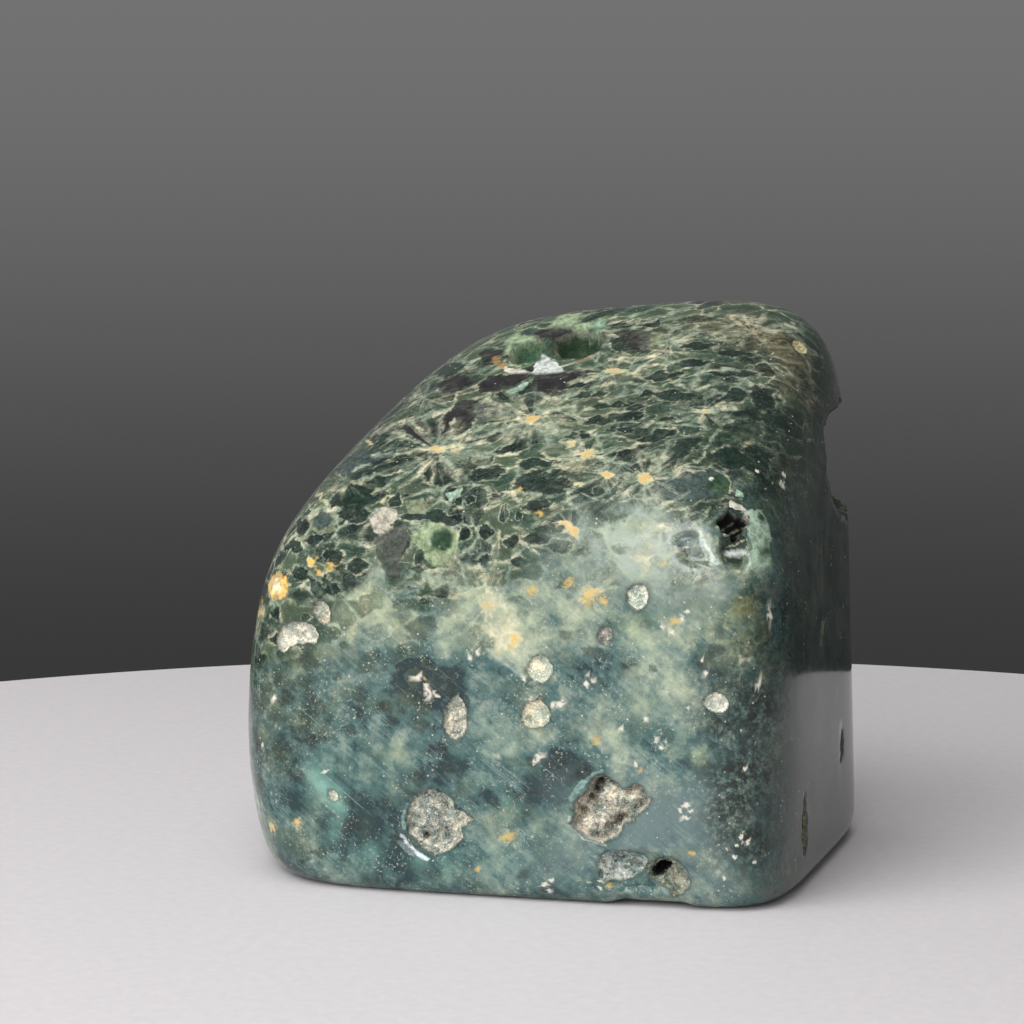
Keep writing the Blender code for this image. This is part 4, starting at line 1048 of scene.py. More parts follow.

# Single facets and crystals that stand out, and painted highlights: tone, then the outline in the photograph.
# The later ones lie over the earlier ones.
facets = [
    ("glass", [(402, 424), (419, 417), (435, 432), (424, 442), (409, 437)]),
    ("glass", [(364, 437), (379, 424), (401, 421), (392, 432), (374, 441)]),
    ("slate", [(338, 471), (356, 451), (379, 447), (384, 456), (362, 469), (344, 475)]),
    ("fawn", [(477, 413), (492, 402), (525, 403), (520, 414), (500, 420), (484, 420)]),
    ("deep", [(338, 500), (352, 480), (384, 474), (388, 488), (366, 503), (346, 508)]),
    ("glass", [(437, 385), (456, 372), (470, 376), (462, 388), (444, 394)]),
    ("lip", [(544, 325), (554, 313), (586, 312), (589, 335), (577, 333), (571, 326), (544, 327)]),
    ("glass", [(536, 331), (544, 327), (571, 326), (581, 338), (571, 339), (539, 337)]),
    ("moss", [(539, 338), (571, 339), (582, 340), (582, 355), (562, 360), (546, 356), (539, 348)]),
    ("deep", [(567, 340), (582, 340), (582, 355), (567, 356)]),
    ("rust", [(581, 336), (592, 340), (591, 355), (579, 361), (581, 356)]),
    ("lip", [(503, 341), (509, 331), (536, 333), (539, 343), (536, 361), (519, 366), (511, 365),
             (508, 355)]),
    ("block", [(513, 342), (534, 340), (537, 350), (531, 363), (518, 363), (513, 353)]),
    ("moss", [(517, 351), (529, 346), (528, 358), (519, 361)]),
    ("chalk", [(539, 351), (543, 353), (564, 367), (561, 371), (533, 373), (534, 365)]),
    ("glass", [(476, 348), (503, 348), (503, 356), (494, 358), (479, 356)]),
    ("rust", [(490, 357), (500, 354), (506, 362), (504, 368), (494, 364)]),
    ("ridge", [(506, 366), (520, 368), (533, 371), (533, 373), (512, 372), (505, 370)]),
    ("glass", [(478, 383), (488, 375), (529, 371), (533, 373), (526, 378), (499, 390), (478, 391)]),
    ("glass", [(533, 373), (561, 371), (594, 369), (579, 378), (556, 391), (546, 394), (533, 383)]),
    ("deep", [(499, 399), (499, 393), (526, 381), (529, 385), (524, 393), (506, 399)]),
    # painted highlight: a pale strip along the top of the dark green lens
    ("mint", [(506, 391), (526, 380), (529, 383), (513, 393)]),
    ("block", [(591, 317), (612, 315), (612, 326), (601, 333), (592, 330)]),
    ("mint", [(594, 322), (604, 322), (603, 330), (595, 330)]),
    ("lip", [(625, 312), (640, 312), (640, 323), (629, 318)]),
    ("glass", [(615, 332), (639, 328), (642, 352), (629, 346)]),
    ("stone", [(639, 328), (653, 330), (650, 346), (641, 351)]),
    ("fawn", [(653, 330), (673, 333), (650, 347)]),
    ("glass", [(440, 419), (460, 398), (478, 399), (475, 416), (446, 438), (421, 433)]),
    ("stone", [(473, 403), (506, 404), (521, 409), (513, 414), (478, 421), (475, 416)]),
    ("glass", [(405, 428), (416, 426), (431, 441), (426, 444), (411, 436)]),
    ("deep", [(376, 437), (390, 428), (400, 425), (398, 431), (378, 441)]),
    ("slate", [(657, 478), (696, 470), (719, 470), (733, 478), (731, 491), (719, 496), (682, 499),
               (653, 496)]),
    ("moss", [(706, 473), (724, 473), (733, 481), (730, 491), (716, 494), (707, 487)]),
    ("deep", [(719, 446), (741, 450), (744, 459), (735, 466), (721, 463)]),
    ("mint", [(749, 508), (762, 509), (766, 517), (772, 534), (770, 548), (775, 554), (766, 567),
              (751, 571), (748, 555), (752, 546), (747, 534), (749, 522)]),
    ("moss", [(758, 510), (765, 515), (765, 520), (759, 520)]),
    ("moss", [(759, 547), (770, 548), (766, 557), (759, 554)]),
    ("mint", [(737, 489), (744, 492), (744, 496), (735, 495)]),
    ("deep", [(719, 536), (744, 529), (748, 547), (741, 562), (724, 561), (719, 548)]),
    ("chalk", [(724, 552), (737, 547), (747, 550), (744, 555), (730, 555)]),
    ("ridge", [(731, 499), (738, 502), (748, 509), (749, 522), (744, 520), (744, 510), (730, 506)]),
    ("ridge", [(723, 532), (748, 523), (749, 525), (724, 534)]),
    ("hollow", [(673, 539), (681, 531), (692, 531), (700, 539), (701, 551), (704, 563), (695, 562),
                (686, 551), (672, 548)]),
    # painted highlight: an arc on the lip of the dimples beside the hollow
    ("paintedHighlight", [(699, 530), (703, 529), (707, 544), (717, 558), (722, 563), (716, 565), (706, 559),
               (702, 547)]),
    ("pumice", [(369, 519), (376, 508), (386, 505), (396, 508), (397, 519), (389, 524), (387, 531),
                (374, 533)]),
    ("stone", [(373, 539), (389, 529), (407, 521), (411, 536), (399, 561), (402, 577), (389, 573),
               (378, 558)]),
    ("fawn", [(404, 501), (423, 497), (430, 506), (426, 514), (408, 512)]),
    ("mint", [(445, 493), (462, 486), (461, 495), (450, 501)]),
    ("frill", [(412, 534), (420, 527), (424, 520), (436, 521), (447, 526), (460, 532), (459, 547),
               (463, 556), (450, 566), (438, 562), (428, 566), (423, 552), (414, 545)]),
    ("moss", [(432, 530), (445, 527), (454, 533), (452, 545), (445, 552), (433, 548), (429, 539)]),
    ("fawn", [(441, 551), (457, 554), (456, 568), (442, 568)]),
    ("fawn", [(308, 518), (315, 508), (330, 506), (338, 518), (333, 531), (318, 534), (310, 528)]),
    ("slate", [(313, 518), (318, 511), (328, 510), (333, 518), (329, 527), (319, 530), (313, 525)]),
    ("amber", [(267, 586), (273, 573), (281, 571), (288, 579), (289, 592), (280, 601), (271, 596)]),
    ("glow", [(271, 584), (276, 577), (281, 581), (280, 591), (273, 592)]),
    # painted highlight: a thin arc along the lower lip of the round vug
    ("glint", [(400, 835), (405, 844), (414, 853), (424, 860), (431, 861), (430, 859), (424, 857),
               (415, 851), (407, 842), (402, 835)]),
    ("ring", [(401, 830), (400, 818), (404, 806), (412, 796), (424, 789), (436, 789), (425, 794),
              (415, 800), (408, 808), (405, 818), (405, 830)]),
    ("ring", [(571, 810), (568, 798), (576, 785), (592, 773), (604, 769), (599, 776), (586, 784),
              (577, 795), (575, 807)]),
    # painted highlight: an arc on the lower lip of the ledge vug
    ("paintedHighlight", [(570, 817), (584, 834), (604, 842), (606, 845), (602, 846), (581, 839), (568, 820)]),
]
facetTones = {
    "amber": (218, 178, 104),
    "block": (104, 138, 104),
    "chalk": (196, 202, 196),
    "deep": (26, 44, 36),
    "fawn": (122, 130, 104),
    "frill": (138, 156, 118),
    # painted highlight, for arcs on the lips of vugs and dimples
    "paintedHighlight": (186, 200, 192),
    "glass": (40, 37, 40),
    # painted highlight of the round vug's lower lip
    "glint": (226, 238, 242),
    "glow": (238, 222, 184),
    "hollow": (62, 82, 86),
    "lip": (150, 168, 134),
    "mint": (156, 180, 158),
    "moss": (50, 74, 54),
    "pumice": (178, 172, 156),
    "ridge": (206, 202, 186),
    "ring": (128, 160, 152),
    "rust": (150, 122, 84),
    "slate": (62, 76, 74),
    "stone": (74, 78, 72),
}

# Sprays of fibres: across, down, half width, half height in pixels, strength.
sprays = [
    (436, 449, 78, 46, 1.0), (532, 416, 74, 40, 1.0), (613, 371, 50, 26, 0.7), (573, 530, 46, 40, 0.5),
    (487, 605, 58, 56, 0.9), (587, 453, 50, 28, 0.9), (606, 473, 42, 26, 0.8), (645, 477, 60, 38, 1.0),
    (590, 594, 46, 42, 0.6), (703, 410, 50, 26, 0.8), (424, 397, 36, 24, 0.8), (505, 500, 34, 24, 0.5),
    (752, 330, 50, 24, 0.7), (515, 637, 22, 20, 0.4), (670, 350, 44, 22, 0.6), (345, 480, 40, 24, 0.6),
    (690, 560, 50, 36, 0.6), (335, 600, 34, 34, 0.4), (634, 629, 22, 20, 0.3),
]

# How the marks that are placed by the photograph lose their straight edges. Noises are a
# size in millimetres, octaves, a shift that sets them apart, and a height.
placing = {
    "sway": (2.2, 4, 0.0, 4.5),      # pixels to the right
    "lift": (1.6, 4, 47.0, 3.0),     # pixels down
    "tremble": (0.8, 3, 0.0, 1.6),   # pixels in and out, for facets
    "wobble": (0.4, 3, 0.0, 1.1),    # shares of a mark's radius
    "blur": 1.4,                     # half the width of a facet's soft edge, in pixels
    "apart": 6.0,                    # pixels round a facet that are looked at
    "glintShare": 2.0,               # a glint covers what lies under it more than the rest
    "faceOn": (0.02, 0.2),           # how far a point must face the camera to take them
}


def shaken(places, key):
    size, octaves, shift, height = placing[key]
    return roughness(places / mm + shift, size, octaves) * height


def facetFields(across, down, tremble):
    share = np.zeros(len(across))
    tint = np.zeros((len(across), 3))
    points = np.stack((across, down), axis=1)
    for tone, outline in facets:
        low = np.min(outline, axis=0) - placing["apart"]
        high = np.max(outline, axis=0) + placing["apart"]
        near = np.where(((points > low) & (points < high)).all(axis=1))[0]
        inside = insideDistance(points[near], outline) + tremble[near]
        here = smooth(inside, -placing["blur"], placing["blur"])
        colour = np.array(toLinear(*facetTones[tone])[:3])
        share[near] = np.maximum(share[near], here * (placing["glintShare"] if tone == "glint" else 1.0))
        tint[near] = tint[near] * (1 - here[:, None]) + colour * here[:, None]
    return share, tint / np.clip(share, 1e-3, 1)[:, None]


def patchShare(places, placed, family):
    total = np.zeros(len(places))
    for centre, radius, strength in placed.each(family):
        away = ((places - centre) ** 2).sum(axis=1) / radius ** 2
        total += strength * np.exp(-away)
    return total


def inPicture(camera, places):
    # pixel of the photograph that each point falls on
    turned = (places - np.array(camera.matrix_world.translation)) @ np.array(camera.matrix_world.to_3x3())
    reach = view["lens"] / view["sensor"] * view["picture"]
    half = view["picture"] / 2
    return half - reach * turned[:, 0] / turned[:, 2], half + reach * turned[:, 1] / turned[:, 2]


def inOval(across, down, oval):
    # 0 in the middle of an oval and 1 on its outline, which is a little like a lozenge
    centreAcross, centreDown, halfWide, halfHigh, rises = oval
    turn = math.radians(rises)
    right = across - centreAcross
    up = centreDown - down
    first = np.abs(right * math.cos(turn) + up * math.sin(turn)) / halfWide
    second = np.abs(up * math.cos(turn) - right * math.sin(turn)) / halfHigh
    return (first ** 1.5 + second ** 1.5) ** (1 / 1.5)


def ovalShare(across, down, ovals):
    # each oval's strength in its middle, 0 on its outline, negative beyond
    total = np.full(len(across), -1.0)
    for *oval, strength in ovals:
        total = np.maximum(total, strength * (1 - inOval(across, down, oval) ** 2))
    return total


def strokeShare(across, down):
    # 1 along the middle of a stroke, 0 a stroke's width away, negative beyond
    best = np.full(len(across), np.inf)
    points = np.stack((across, down), axis=1)
    for width, path in veinStrokes:
        for start, end in zip(path, path[1:]):
            start = np.array(start, float)
            edge = np.array(end) - start
            offset = points - start
            share = np.clip(offset @ edge / (edge @ edge), 0, 1)
            away = np.linalg.norm(offset - share[:, None] * edge, axis=1) / width
            best = np.minimum(best, away)
    return 1 - best


def sprayFields(across, down):
    # for each point the nearest spray: its direction from the centre, how far out it is,
    # and how strong the fibres still are there
    best = np.full(len(across), np.inf)
    way = np.zeros((len(across), 3))
    share = np.zeros(len(across))
    for number, (centreAcross, centreDown, halfWide, halfHigh, strength) in enumerate(sprays):
        right = (across - centreAcross) / halfWide
        up = (centreDown - down) / halfHigh
        away = np.hypot(right, up)
        closer = away < best
        best[closer] = away[closer]
        way[closer] = np.stack((right, up, right * 0 + number), axis=1)[closer]
        share[closer] = strength * np.clip(1 - away[closer], 0, 1)
    return way, share


def markShare(places, placed, family):
    total = np.zeros(len(places))
    for centre, radius in placed.each(family):
        offset = places - centre
        near = np.where((offset ** 2).sum(axis=1) < (radius * 1.4) ** 2)[0]
        away = np.linalg.norm(offset[near], axis=1) / radius + shaken(places[near], "wobble")
        total[near] = np.maximum(total[near], 1 - smooth(away, 0.35, 1.0))
    return total


def towardCamera(camera, places, normals):
    sight = np.array(camera.matrix_world.translation) - places
    sight /= np.linalg.norm(sight, axis=1)[:, None]
    return (sight * normals).sum(axis=1)


def layMarkings(mesh, placed, places, normals):
    # everything that the photograph places on the polish, as attributes of the mesh
    for name, family in patches.items():
        setValues(mesh, name, patchShare(places, placed, family))
    for name, family in marks.items():
        setValues(mesh, name + "Mark", markShare(places, placed, family))
    seen = smooth(towardCamera(placed.camera, places, normals), *placing["faceOn"])
    setValues(mesh, "hidden", 1 - seen)
    across, down = inPicture(placed.camera, places)
    way, share = sprayFields(across, down)
    setValues(mesh, "sprayWay", way)
    setValues(mesh, "spray", share * seen)
    share, tint = facetFields(across, down, shaken(places, "tremble"))
    setValues(mesh, "facet", share * seen)
    setValues(mesh, "facetTone", tint)
    across, down = across + shaken(places, "sway"), down + shaken(places, "lift")
    setValues(mesh, "darkCell", ovalShare(across, down, darkCells) * seen + seen - 1)
    setValues(mesh, "ochre", np.maximum(ovalShare(across, down, ochreSpots), 0) * seen)
    setValues(mesh, "vein", strokeShare(across, down) * seen + seen - 1)
    print("patches, sprays and marks laid out")


def fitToBox(mesh, corners):
    # takes out the last few hundredths of a millimetre between the fine mesh and the solid
    places = np.empty(len(mesh.vertices) * 3)
    mesh.vertices.foreach_get("co", places)
    places = places.reshape(-1, 3)
    low, high = places.min(axis=0), places.max(axis=0)
    wanted = [np.array(corner) for corner in corners]
    places = wanted[0] + (places - low) * (wanted[1] - wanted[0]) / (high - low)
    mesh.vertices.foreach_set("co", places.ravel())
    mesh.update()


def makeStone(camera, material):
    mesh = groundStone(camera, material)
    stone = bmesh.new()
    stone.from_mesh(mesh)
    surface = BVHTree.FromBMesh(stone)
    placed = Places(camera, surface)
    opened = openVugs(surface)
    refine(stone, spotsToRefine(opened, placed))
    print("cells halved round vugs and marks:", len(stone.faces), "faces")
    smoothPlaces = np.array([vert.co for vert in stone.verts])
    stone.normal_update()
    smoothNormals = np.array([vert.normal for vert in stone.verts])
    lining = carve(stone, opened)
    print("vugs carved")
    stone.to_mesh(mesh)
    stone.free()
    fitToBox(mesh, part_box("stone"))
    for name, values in lining.items():
        setValues(mesh, name, values)
    layMarkings(mesh, placed, smoothPlaces, smoothNormals)
    mesh.shade_smooth()
    return addPiece("polishedStone", mesh)


# Colours of the polished stone, as seen on screen.
jasper = {
    "black": (18, 27, 25),
    "deepGreen": (32, 47, 41),
    "bottle": (38, 60, 47),
    "moss": (64, 80, 56),
    "olive": (80, 92, 68),
    "straw": (150, 152, 104),
    "navy": (28, 50, 54),
    "deepTeal": (30, 62, 64),
    "teal": (70, 102, 100),
    "brightTeal": (92, 132, 124),
    "glow": (134, 186, 170),
    "cellEdge": (108, 122, 98),
    "seaGrey": (120, 138, 128),
    # the next two are painted reflections: of the table low on the front, and of the soft light over the bend
    "paintedTableSheen": (112, 130, 130),
    "paintedSheen": (168, 180, 168),
    "scratch": (180, 196, 194),
    "orb": (168, 182, 148),
    "paleGreen": (164, 176, 152),
    "cream": (222, 216, 182),
    "chalk": (222, 216, 200),
    "umber": (46, 40, 36),
    "drab": (150, 136, 104),
    "streak": (150, 132, 96),
    "ochre": (226, 186, 98),
    "amber": (236, 178, 66),
}
# What a user would change about the pattern: sizes and heights in millimetres, turns in
# degrees.
pattern = {
    "cellSize": 2.6,
    "cellTurn": -24.0,                      # round the upright, so that the cells lie aslant
    "cellStretch": (0.58, 1.1, 0.95),       # the smallest of the three is the long direction
    "featherStretch": (0.35, 1.7, 1.5),
    "raggedStretch": (0.6, 1.3, 1.2),
    "bend": 3.2,                            # how far cells and clouds wander
    "cellsFrom": (36.0, 42.5),              # heights over which cells take over from clouds
    "sunkFrom": (24.0, 36.0),               # and over which the clouds hide the last of them
    "borderSwing": 6.0,                     # how far that border wanders up and down
    "borderTilt": 0.33,                     # how much it rises to the right
    "leftEnd": (-29.0, -38.5),              # towards the left end it comes down,
    "leftLift": 23.0,                       # by this much
    "paleLift": 3.0,                        # and pale patches bring the clouds up
    "cloudSize": 6.5,
    "brushTurn": -38.0,                     # the lower face looks brushed aslant
    "brushStretch": (0.22, 1.0, 1.5),
    "scratchStretch": (0.045, 1.0, 3.4),
    # painted shade on the right end: how far right it darkens the stone
    "paintedShadeFrom": (30.5, 37.0),               # how far right the stone darkens
    # size of the cells in which the painted glint specks lie
    "glintSpeckSize": 0.62,
    "glossyFrom": (34.0, 38.0),             # how far right the polish becomes a mirror
    "polish": (0.10, 0.26),                 # roughness, from the shiny to the dull places
    "liningRoughness": 0.85,
    "liningRelief": 0.8,
    "refraction": 1.54,
}
# Colours and finish of the crust in the vugs.
crust = {
    "coolCrumb": (204, 216, 212),
    "warmCrumb": (255, 248, 236),
    "crystal": (228, 232, 226),
    "grainRoughness": (0.80, 0.30),         # of dull grains and of crystals
}


def crustEffect():
    # crumbs and dark seams of a vug's lining, and painted shade where it lies deep, shared by the stone and
    # its loose grains
    tree = bpy.data.node_groups.get("crustEffect")
    if tree:
        return tree
    tree = bpy.data.node_groups.new("crustEffect", "ShaderNodeTree")
    given, result = addSockets(tree, {"Place": "Vector", "Tone": "Color", "Grit": "Float", "Depth": "Float"},
                               {"Colour": "Color", "Relief": "Float"})
    s = Nodes(tree)
    crumbs = s.noise(given["Place"], 0.55, 5.0, 0.7)
    lumps = s.noise(given["Place"], 1.7, 4.0, 0.65)
    seam = s.calc("ABSOLUTE", s.minus(s.noise(given["Place"], 1.3, 4.0, 0.7), 0.5))
    seam = s.minus(1.0, s.step(seam, 0.005, 0.05))
    shade = s.plus(s.step(crumbs, 0.33, 0.62, -0.50, 0.30), s.step(lumps, 0.34, 0.62, -0.20, 0.16))
    shade = s.minus(shade, s.times(seam, 0.42))
    shade = s.plus(1.0, s.times(shade, given["Grit"]))
    # painted shade: the crust darkens where the vug lies deep
    shade = s.times(shade, s.spread(given["Depth"], 0.9, 2.2, 1.0, 0.22))
    warm = s.mix(s.step(lumps, 0.40, 0.64), toLinear(*crust["coolCrumb"]), toLinear(*crust["warmCrumb"]))
    toned = s.mix(1.0, given["Tone"], warm, "MULTIPLY")
    feed(tree, result["Colour"], s.vector("SCALE", toned, shade))
    feed(tree, result["Relief"], s.minus(crumbs, s.times(seam, 0.2)))
    return tree


def layCrust(s, spot):
    # the crust's colour and relief, from the values that the mesh holds
    effect = addNode(s.tree, "ShaderNodeGroup", node_tree=crustEffect())
    s.give(effect, {"Place": spot, "Tone": s.attribute("lining", "Color"), "Grit": s.attribute("grit"),
                    "Depth": s.attribute("sunk")})
    return effect.outputs["Colour"], effect.outputs["Relief"]


def vugGrit():
    material, surface = newMaterial("vugGrit")
    s = Nodes(material.node_tree)
    glint = s.attribute("glint")
    colour, _ = layCrust(s, s.millimetres())
    colour = s.vector("SCALE", colour, s.spread(glint, 0.0, 1.0, 0.72, 1.35))
    colour = s.over(colour, toLinear(*crust["crystal"]), s.step(glint, 0.90, 0.99), 0.7)
    rough = s.step(glint, 0.88, 0.99, *crust["grainRoughness"])
    s.give(surface, {"Base Color": colour, "Roughness": rough, "IOR": pattern["refraction"]})
    return material


# Loose grains and small crystals in the vugs.
grains = {
    "perSquareMillimetre": 13.0,
    "radius": 0.13,      # millimetres
    "smallest": 0.45,    # share of that radius
    "largest": 1.25,
    "seed": 5,
    "linedFrom": 0.95,   # they lie where the lining covers a face at least this much
    "grittyFrom": 0.3,   # and is at least this gritty
}


def grainsTree(material):
    # scatters rough grains over the given faces; grains keep the faces' attributes
    tree = bpy.data.node_groups.new("vugGrains", "GeometryNodeTree")
    sizes = {name: "Float" for name in ("Density", "Radius", "Smallest", "Largest")}
    given, result = addSockets(tree, {"Geometry": "Geometry", **sizes, "Seed": "Int"},
                               {"Geometry": "Geometry"})
    points = addNode(tree, "GeometryNodeDistributePointsOnFaces",
                     {"Mesh": given["Geometry"], "Density": given["Density"], "Seed": given["Seed"]})
    size = addNode(tree, "FunctionNodeRandomValue",
                   {2: given["Smallest"], 3: given["Largest"], 8: given["Seed"]}, data_type="FLOAT")
    turn = addNode(tree, "FunctionNodeRandomValue",
                   {1: (math.tau, math.tau, math.tau), 8: given["Seed"]}, data_type="FLOAT_VECTOR")
    glint = addNode(tree, "FunctionNodeRandomValue",
                    {8: Nodes(tree).plus(given["Seed"], 1.0)}, data_type="FLOAT")
    kept = addNode(tree, "GeometryNodeStoreNamedAttribute",
                   {"Geometry": points.outputs["Points"], "Name": "glint", "Value": glint.outputs[1]},
                   data_type="FLOAT", domain="POINT")
    grain = addNode(tree, "GeometryNodeMeshIcoSphere", {"Radius": given["Radius"], "Subdivisions": 1})
    laid = addNode(tree, "GeometryNodeInstanceOnPoints",
                   {"Points": kept.outputs[0], "Instance": grain.outputs[0], "Rotation": turn.outputs[0],
                    "Scale": size.outputs[1]})
    finishTree(tree, laid.outputs[0], material, result)
    return tree


def makeGrains(stonePiece, material):
    floor = bmesh.new()
    floor.from_mesh(stonePiece.data)
    lined = floor.verts.layers.float["lined"]
    grit = floor.verts.layers.float["grit"]
    bare = [face for face in floor.faces
            if min(vert[lined] for vert in face.verts) < grains["linedFrom"]
            or min(vert[grit] for vert in face.verts) < grains["grittyFrom"]]
    bmesh.ops.delete(floor, geom=bare, context="FACES")
    values = {"Density": grains["perSquareMillimetre"] / mm ** 2, "Radius": grains["radius"] * mm,
              "Smallest": grains["smallest"], "Largest": grains["largest"], "Seed": grains["seed"]}
    mesh = meshFromTree(toMesh(floor, "vugFloors"), "vugGrains", grainsTree(material), values)
    print("grains in the vugs:", len(mesh.polygons), "triangles")
    return addPiece("vugGrains", mesh)


class Jasper(Nodes):
    # the polished stone's colour in layers, over patterns that the layers share
    def __init__(self, tree):
        super().__init__(tree)
        self.tones = {name: toLinear(*colour) for name, colour in jasper.items()}
        self.spot = self.millimetres()
        self.right, _, self.up = self.split(self.spot)
        shiver = self.wander(self.spot, 1.1, 3.0, 0.65)
        self.bent = self.moved(self.spot, self.wander(self.spot, 6.0, 2.0, 0.5), pattern["bend"])
        self.bent = self.moved(self.bent, shiver, 1.0)
        self.grain = self.noise(self.spot, 0.9, 6.0, 0.75)
        self.broad = self.noise(self.spot, 5.0, 4.0, 0.6)
        self.patchy = self.noise(self.moved(self.spot, shiver, 2.0), 2.1, 4.0, 0.6)

        lying = self.turned(self.bent, pattern["cellTurn"], "Z_AXIS")
        self.feather = self.noise(self.stretched(lying, "featherStretch"), 0.9, 6.0, 0.72)
        self.ragged = self.noise(self.stretched(lying, "raggedStretch"), 1.3, 5.0, 0.7)
        lens = self.stretched(lying, "cellStretch")
        size = pattern["cellSize"]
        self.cellShade = self.channels(self.cells(lens, size)["Color"])
        self.cellEdge = self.times(self.cells(lens, size, "DISTANCE_TO_EDGE")["Distance"], size)

        # cells that the photograph places, and the pale rims round them
        placed = self.plus(self.attribute("darkCell"), self.swing(self.ragged, 1.8))
        self.placedCell = self.step(placed, -0.08, 0.32)
        self.placedRim = self.times(self.step(placed, -0.80, -0.15), self.minus(1.0, self.placedCell))

        # the height that decides between the cells above and the clouds below
        lift = self.step(self.right, *pattern["leftEnd"], 0.0, pattern["leftLift"])
        rise = self.plus(self.minus(self.up, self.times(self.right, pattern["borderTilt"])), lift)
        rise = self.minus(rise, self.times(self.attribute("pale"), pattern["paleLift"]))
        swing = self.spread(self.noise(self.spot, 6.0, 5.0, 0.72), 0.3, 0.7,
                            -pattern["borderSwing"], pattern["borderSwing"])
        self.rise = self.plus(rise, swing)

    def mix(self, share, first, second, blend="MIX"):
        # here a colour may also be the name of one of the stone's own
        first, second = (self.tones.get(colour, colour) for colour in (first, second))
        return super().mix(share, first, second, blend)

    def stretched(self, vector, key):
        return self.vector("MULTIPLY", vector, pattern[key])


def cellColours(s):
    # dark cells, dusted and striped inside: the ordinary ones, then the placed ones
    dusted = s.step(s.noise(s.spot, 0.28, 3.0, 0.65), 0.60, 0.74)
    striped = s.times(s.step(s.feather, 0.42, 0.70), s.step(s.grain, 0.34, 0.62))
    paling = s.times(s.step(s.cellEdge, 0.85, 0.0), s.step(s.ragged, 0.34, 0.62))
    placed = s.mix(s.cellShade[0], "black", "deepGreen")
    cell = s.over(placed, "bottle", s.step(s.cellShade[1], 0.5, 0.7))
    cell = s.over(cell, "olive", s.step(s.cellShade[2], 0.6, 0.9), 0.6)
    cell = s.over(cell, "cellEdge", paling, 0.42)
    cell = s.over(cell, "seaGrey", striped, 0.42)
    cell = s.over(cell, "paleGreen", dusted, 0.40)
    placed = s.over(placed, "seaGrey", striped, 0.26)
    placed = s.over(placed, "paleGreen", dusted, 0.38)
    return cell, placed


def veinColour(s):
    colour = s.mix(s.step(s.noise(s.spot, 2.6, 3.0, 0.6), 0.42, 0.62), "paleGreen", "cream")
    return s.mix(s.step(s.grain, 0.32, 0.56), "seaGrey", colour)


def veinShare(s):
    # pale ground between the cells, in feathered fibres
    width = s.spread(s.broad, 0.40, 0.68, 0.04, 0.62)
    width = s.times(width, s.spread(s.attribute("green"), 0.2, 1.0, 1.0, 0.3))
    width = s.times(width, s.spread(s.attribute("pale"), 0.1, 0.8, 1.0, 2.2))
    vein = s.minus(1.0, s.step(s.calc("DIVIDE", s.cellEdge, width), 0.05, 1.1))
    vein = s.times(vein, s.step(s.feather, 0.32, 0.62))
    clusters = s.noise(s.vector("ADD", s.spot, (13.0, 7.0, 41.0)), 5.0, 3.0, 0.6)
    return s.times(vein, s.step(clusters, 0.38, 0.60, 0.22, 1.0))


def rayShare(s):
    # fibres that spread from the middle of each spray, no two sprays alike
    right, up, number = s.split(s.attribute("sprayWay", "Vector"))
    level = s.joined(right, up)
    apart = s.joined(up=s.times(number, 3.7))
    place = s.vector("ADD", s.vector("SCALE", s.vector("NORMALIZE", level), 2.6), apart)
    ray = s.noise(s.moved(place, level, 0.5), 1.0, 4.0, 0.6)
    spray = s.attribute("spray")
    ray = s.plus(ray, s.times(s.step(spray, 0.0, 0.75), 0.14))
    ray = s.times(s.step(ray, 0.52, 0.74), s.step(spray, 0.0, 0.4))
    return s.times(ray, s.spread(s.grain, 0.35, 0.6, 0.35, 1.0))


def upperColour(s, cell, placed, vein):
    colour = s.over(cell, vein, veinShare(s), 0.9)
    rims = s.times(s.placedRim, s.step(s.feather, 0.40, 0.62))
    colour = s.over(colour, vein, rims, 0.6)
    return s.over(colour, placed, s.placedCell, 0.92)


def cloudColour(s, brushed):
    # the lower face, from dark to pale, with its teal and olive parts
    cloud = s.swing(s.noise(s.bent, pattern["cloudSize"], 3.0, 0.55), 1.1)
    for value, amount in ((s.patchy, 0.84), (s.grain, 0.40), (brushed, 0.42)):
        cloud = s.plus(cloud, s.swing(value, amount))
    cloud = s.plus(s.times(cloud, 1.25), 0.47)
    cloud = s.plus(cloud, s.times(s.attribute("pale"), 0.24))
    cloud = s.minus(cloud, s.times(s.attribute("navy"), 0.34))
    colour = "navy"
    for name, low, high in (("teal", 0.12, 0.40), ("seaGrey", 0.38, 0.64), ("paleGreen", 0.60, 0.90),
                            ("cream", 0.88, 1.20)):
        colour = s.over(colour, name, s.step(cloud, low, high))
    hue = s.noise(s.vector("ADD", s.spot, (50.0, 0.0, 20.0)), 4.0, 3.0, 0.6)
    colour = s.over(colour, "olive", s.step(hue, 0.48, 0.66), 0.35)
    teal = s.mix(s.step(cloud, 0.20, 0.70), "deepTeal", "brightTeal")
    colour = s.over(colour, teal, s.attribute("teal"), 0.60)
    olive = s.mix(s.step(s.patchy, 0.38, 0.62), "moss", "straw")
    return s.over(colour, olive, s.attribute("olive"), 0.62)


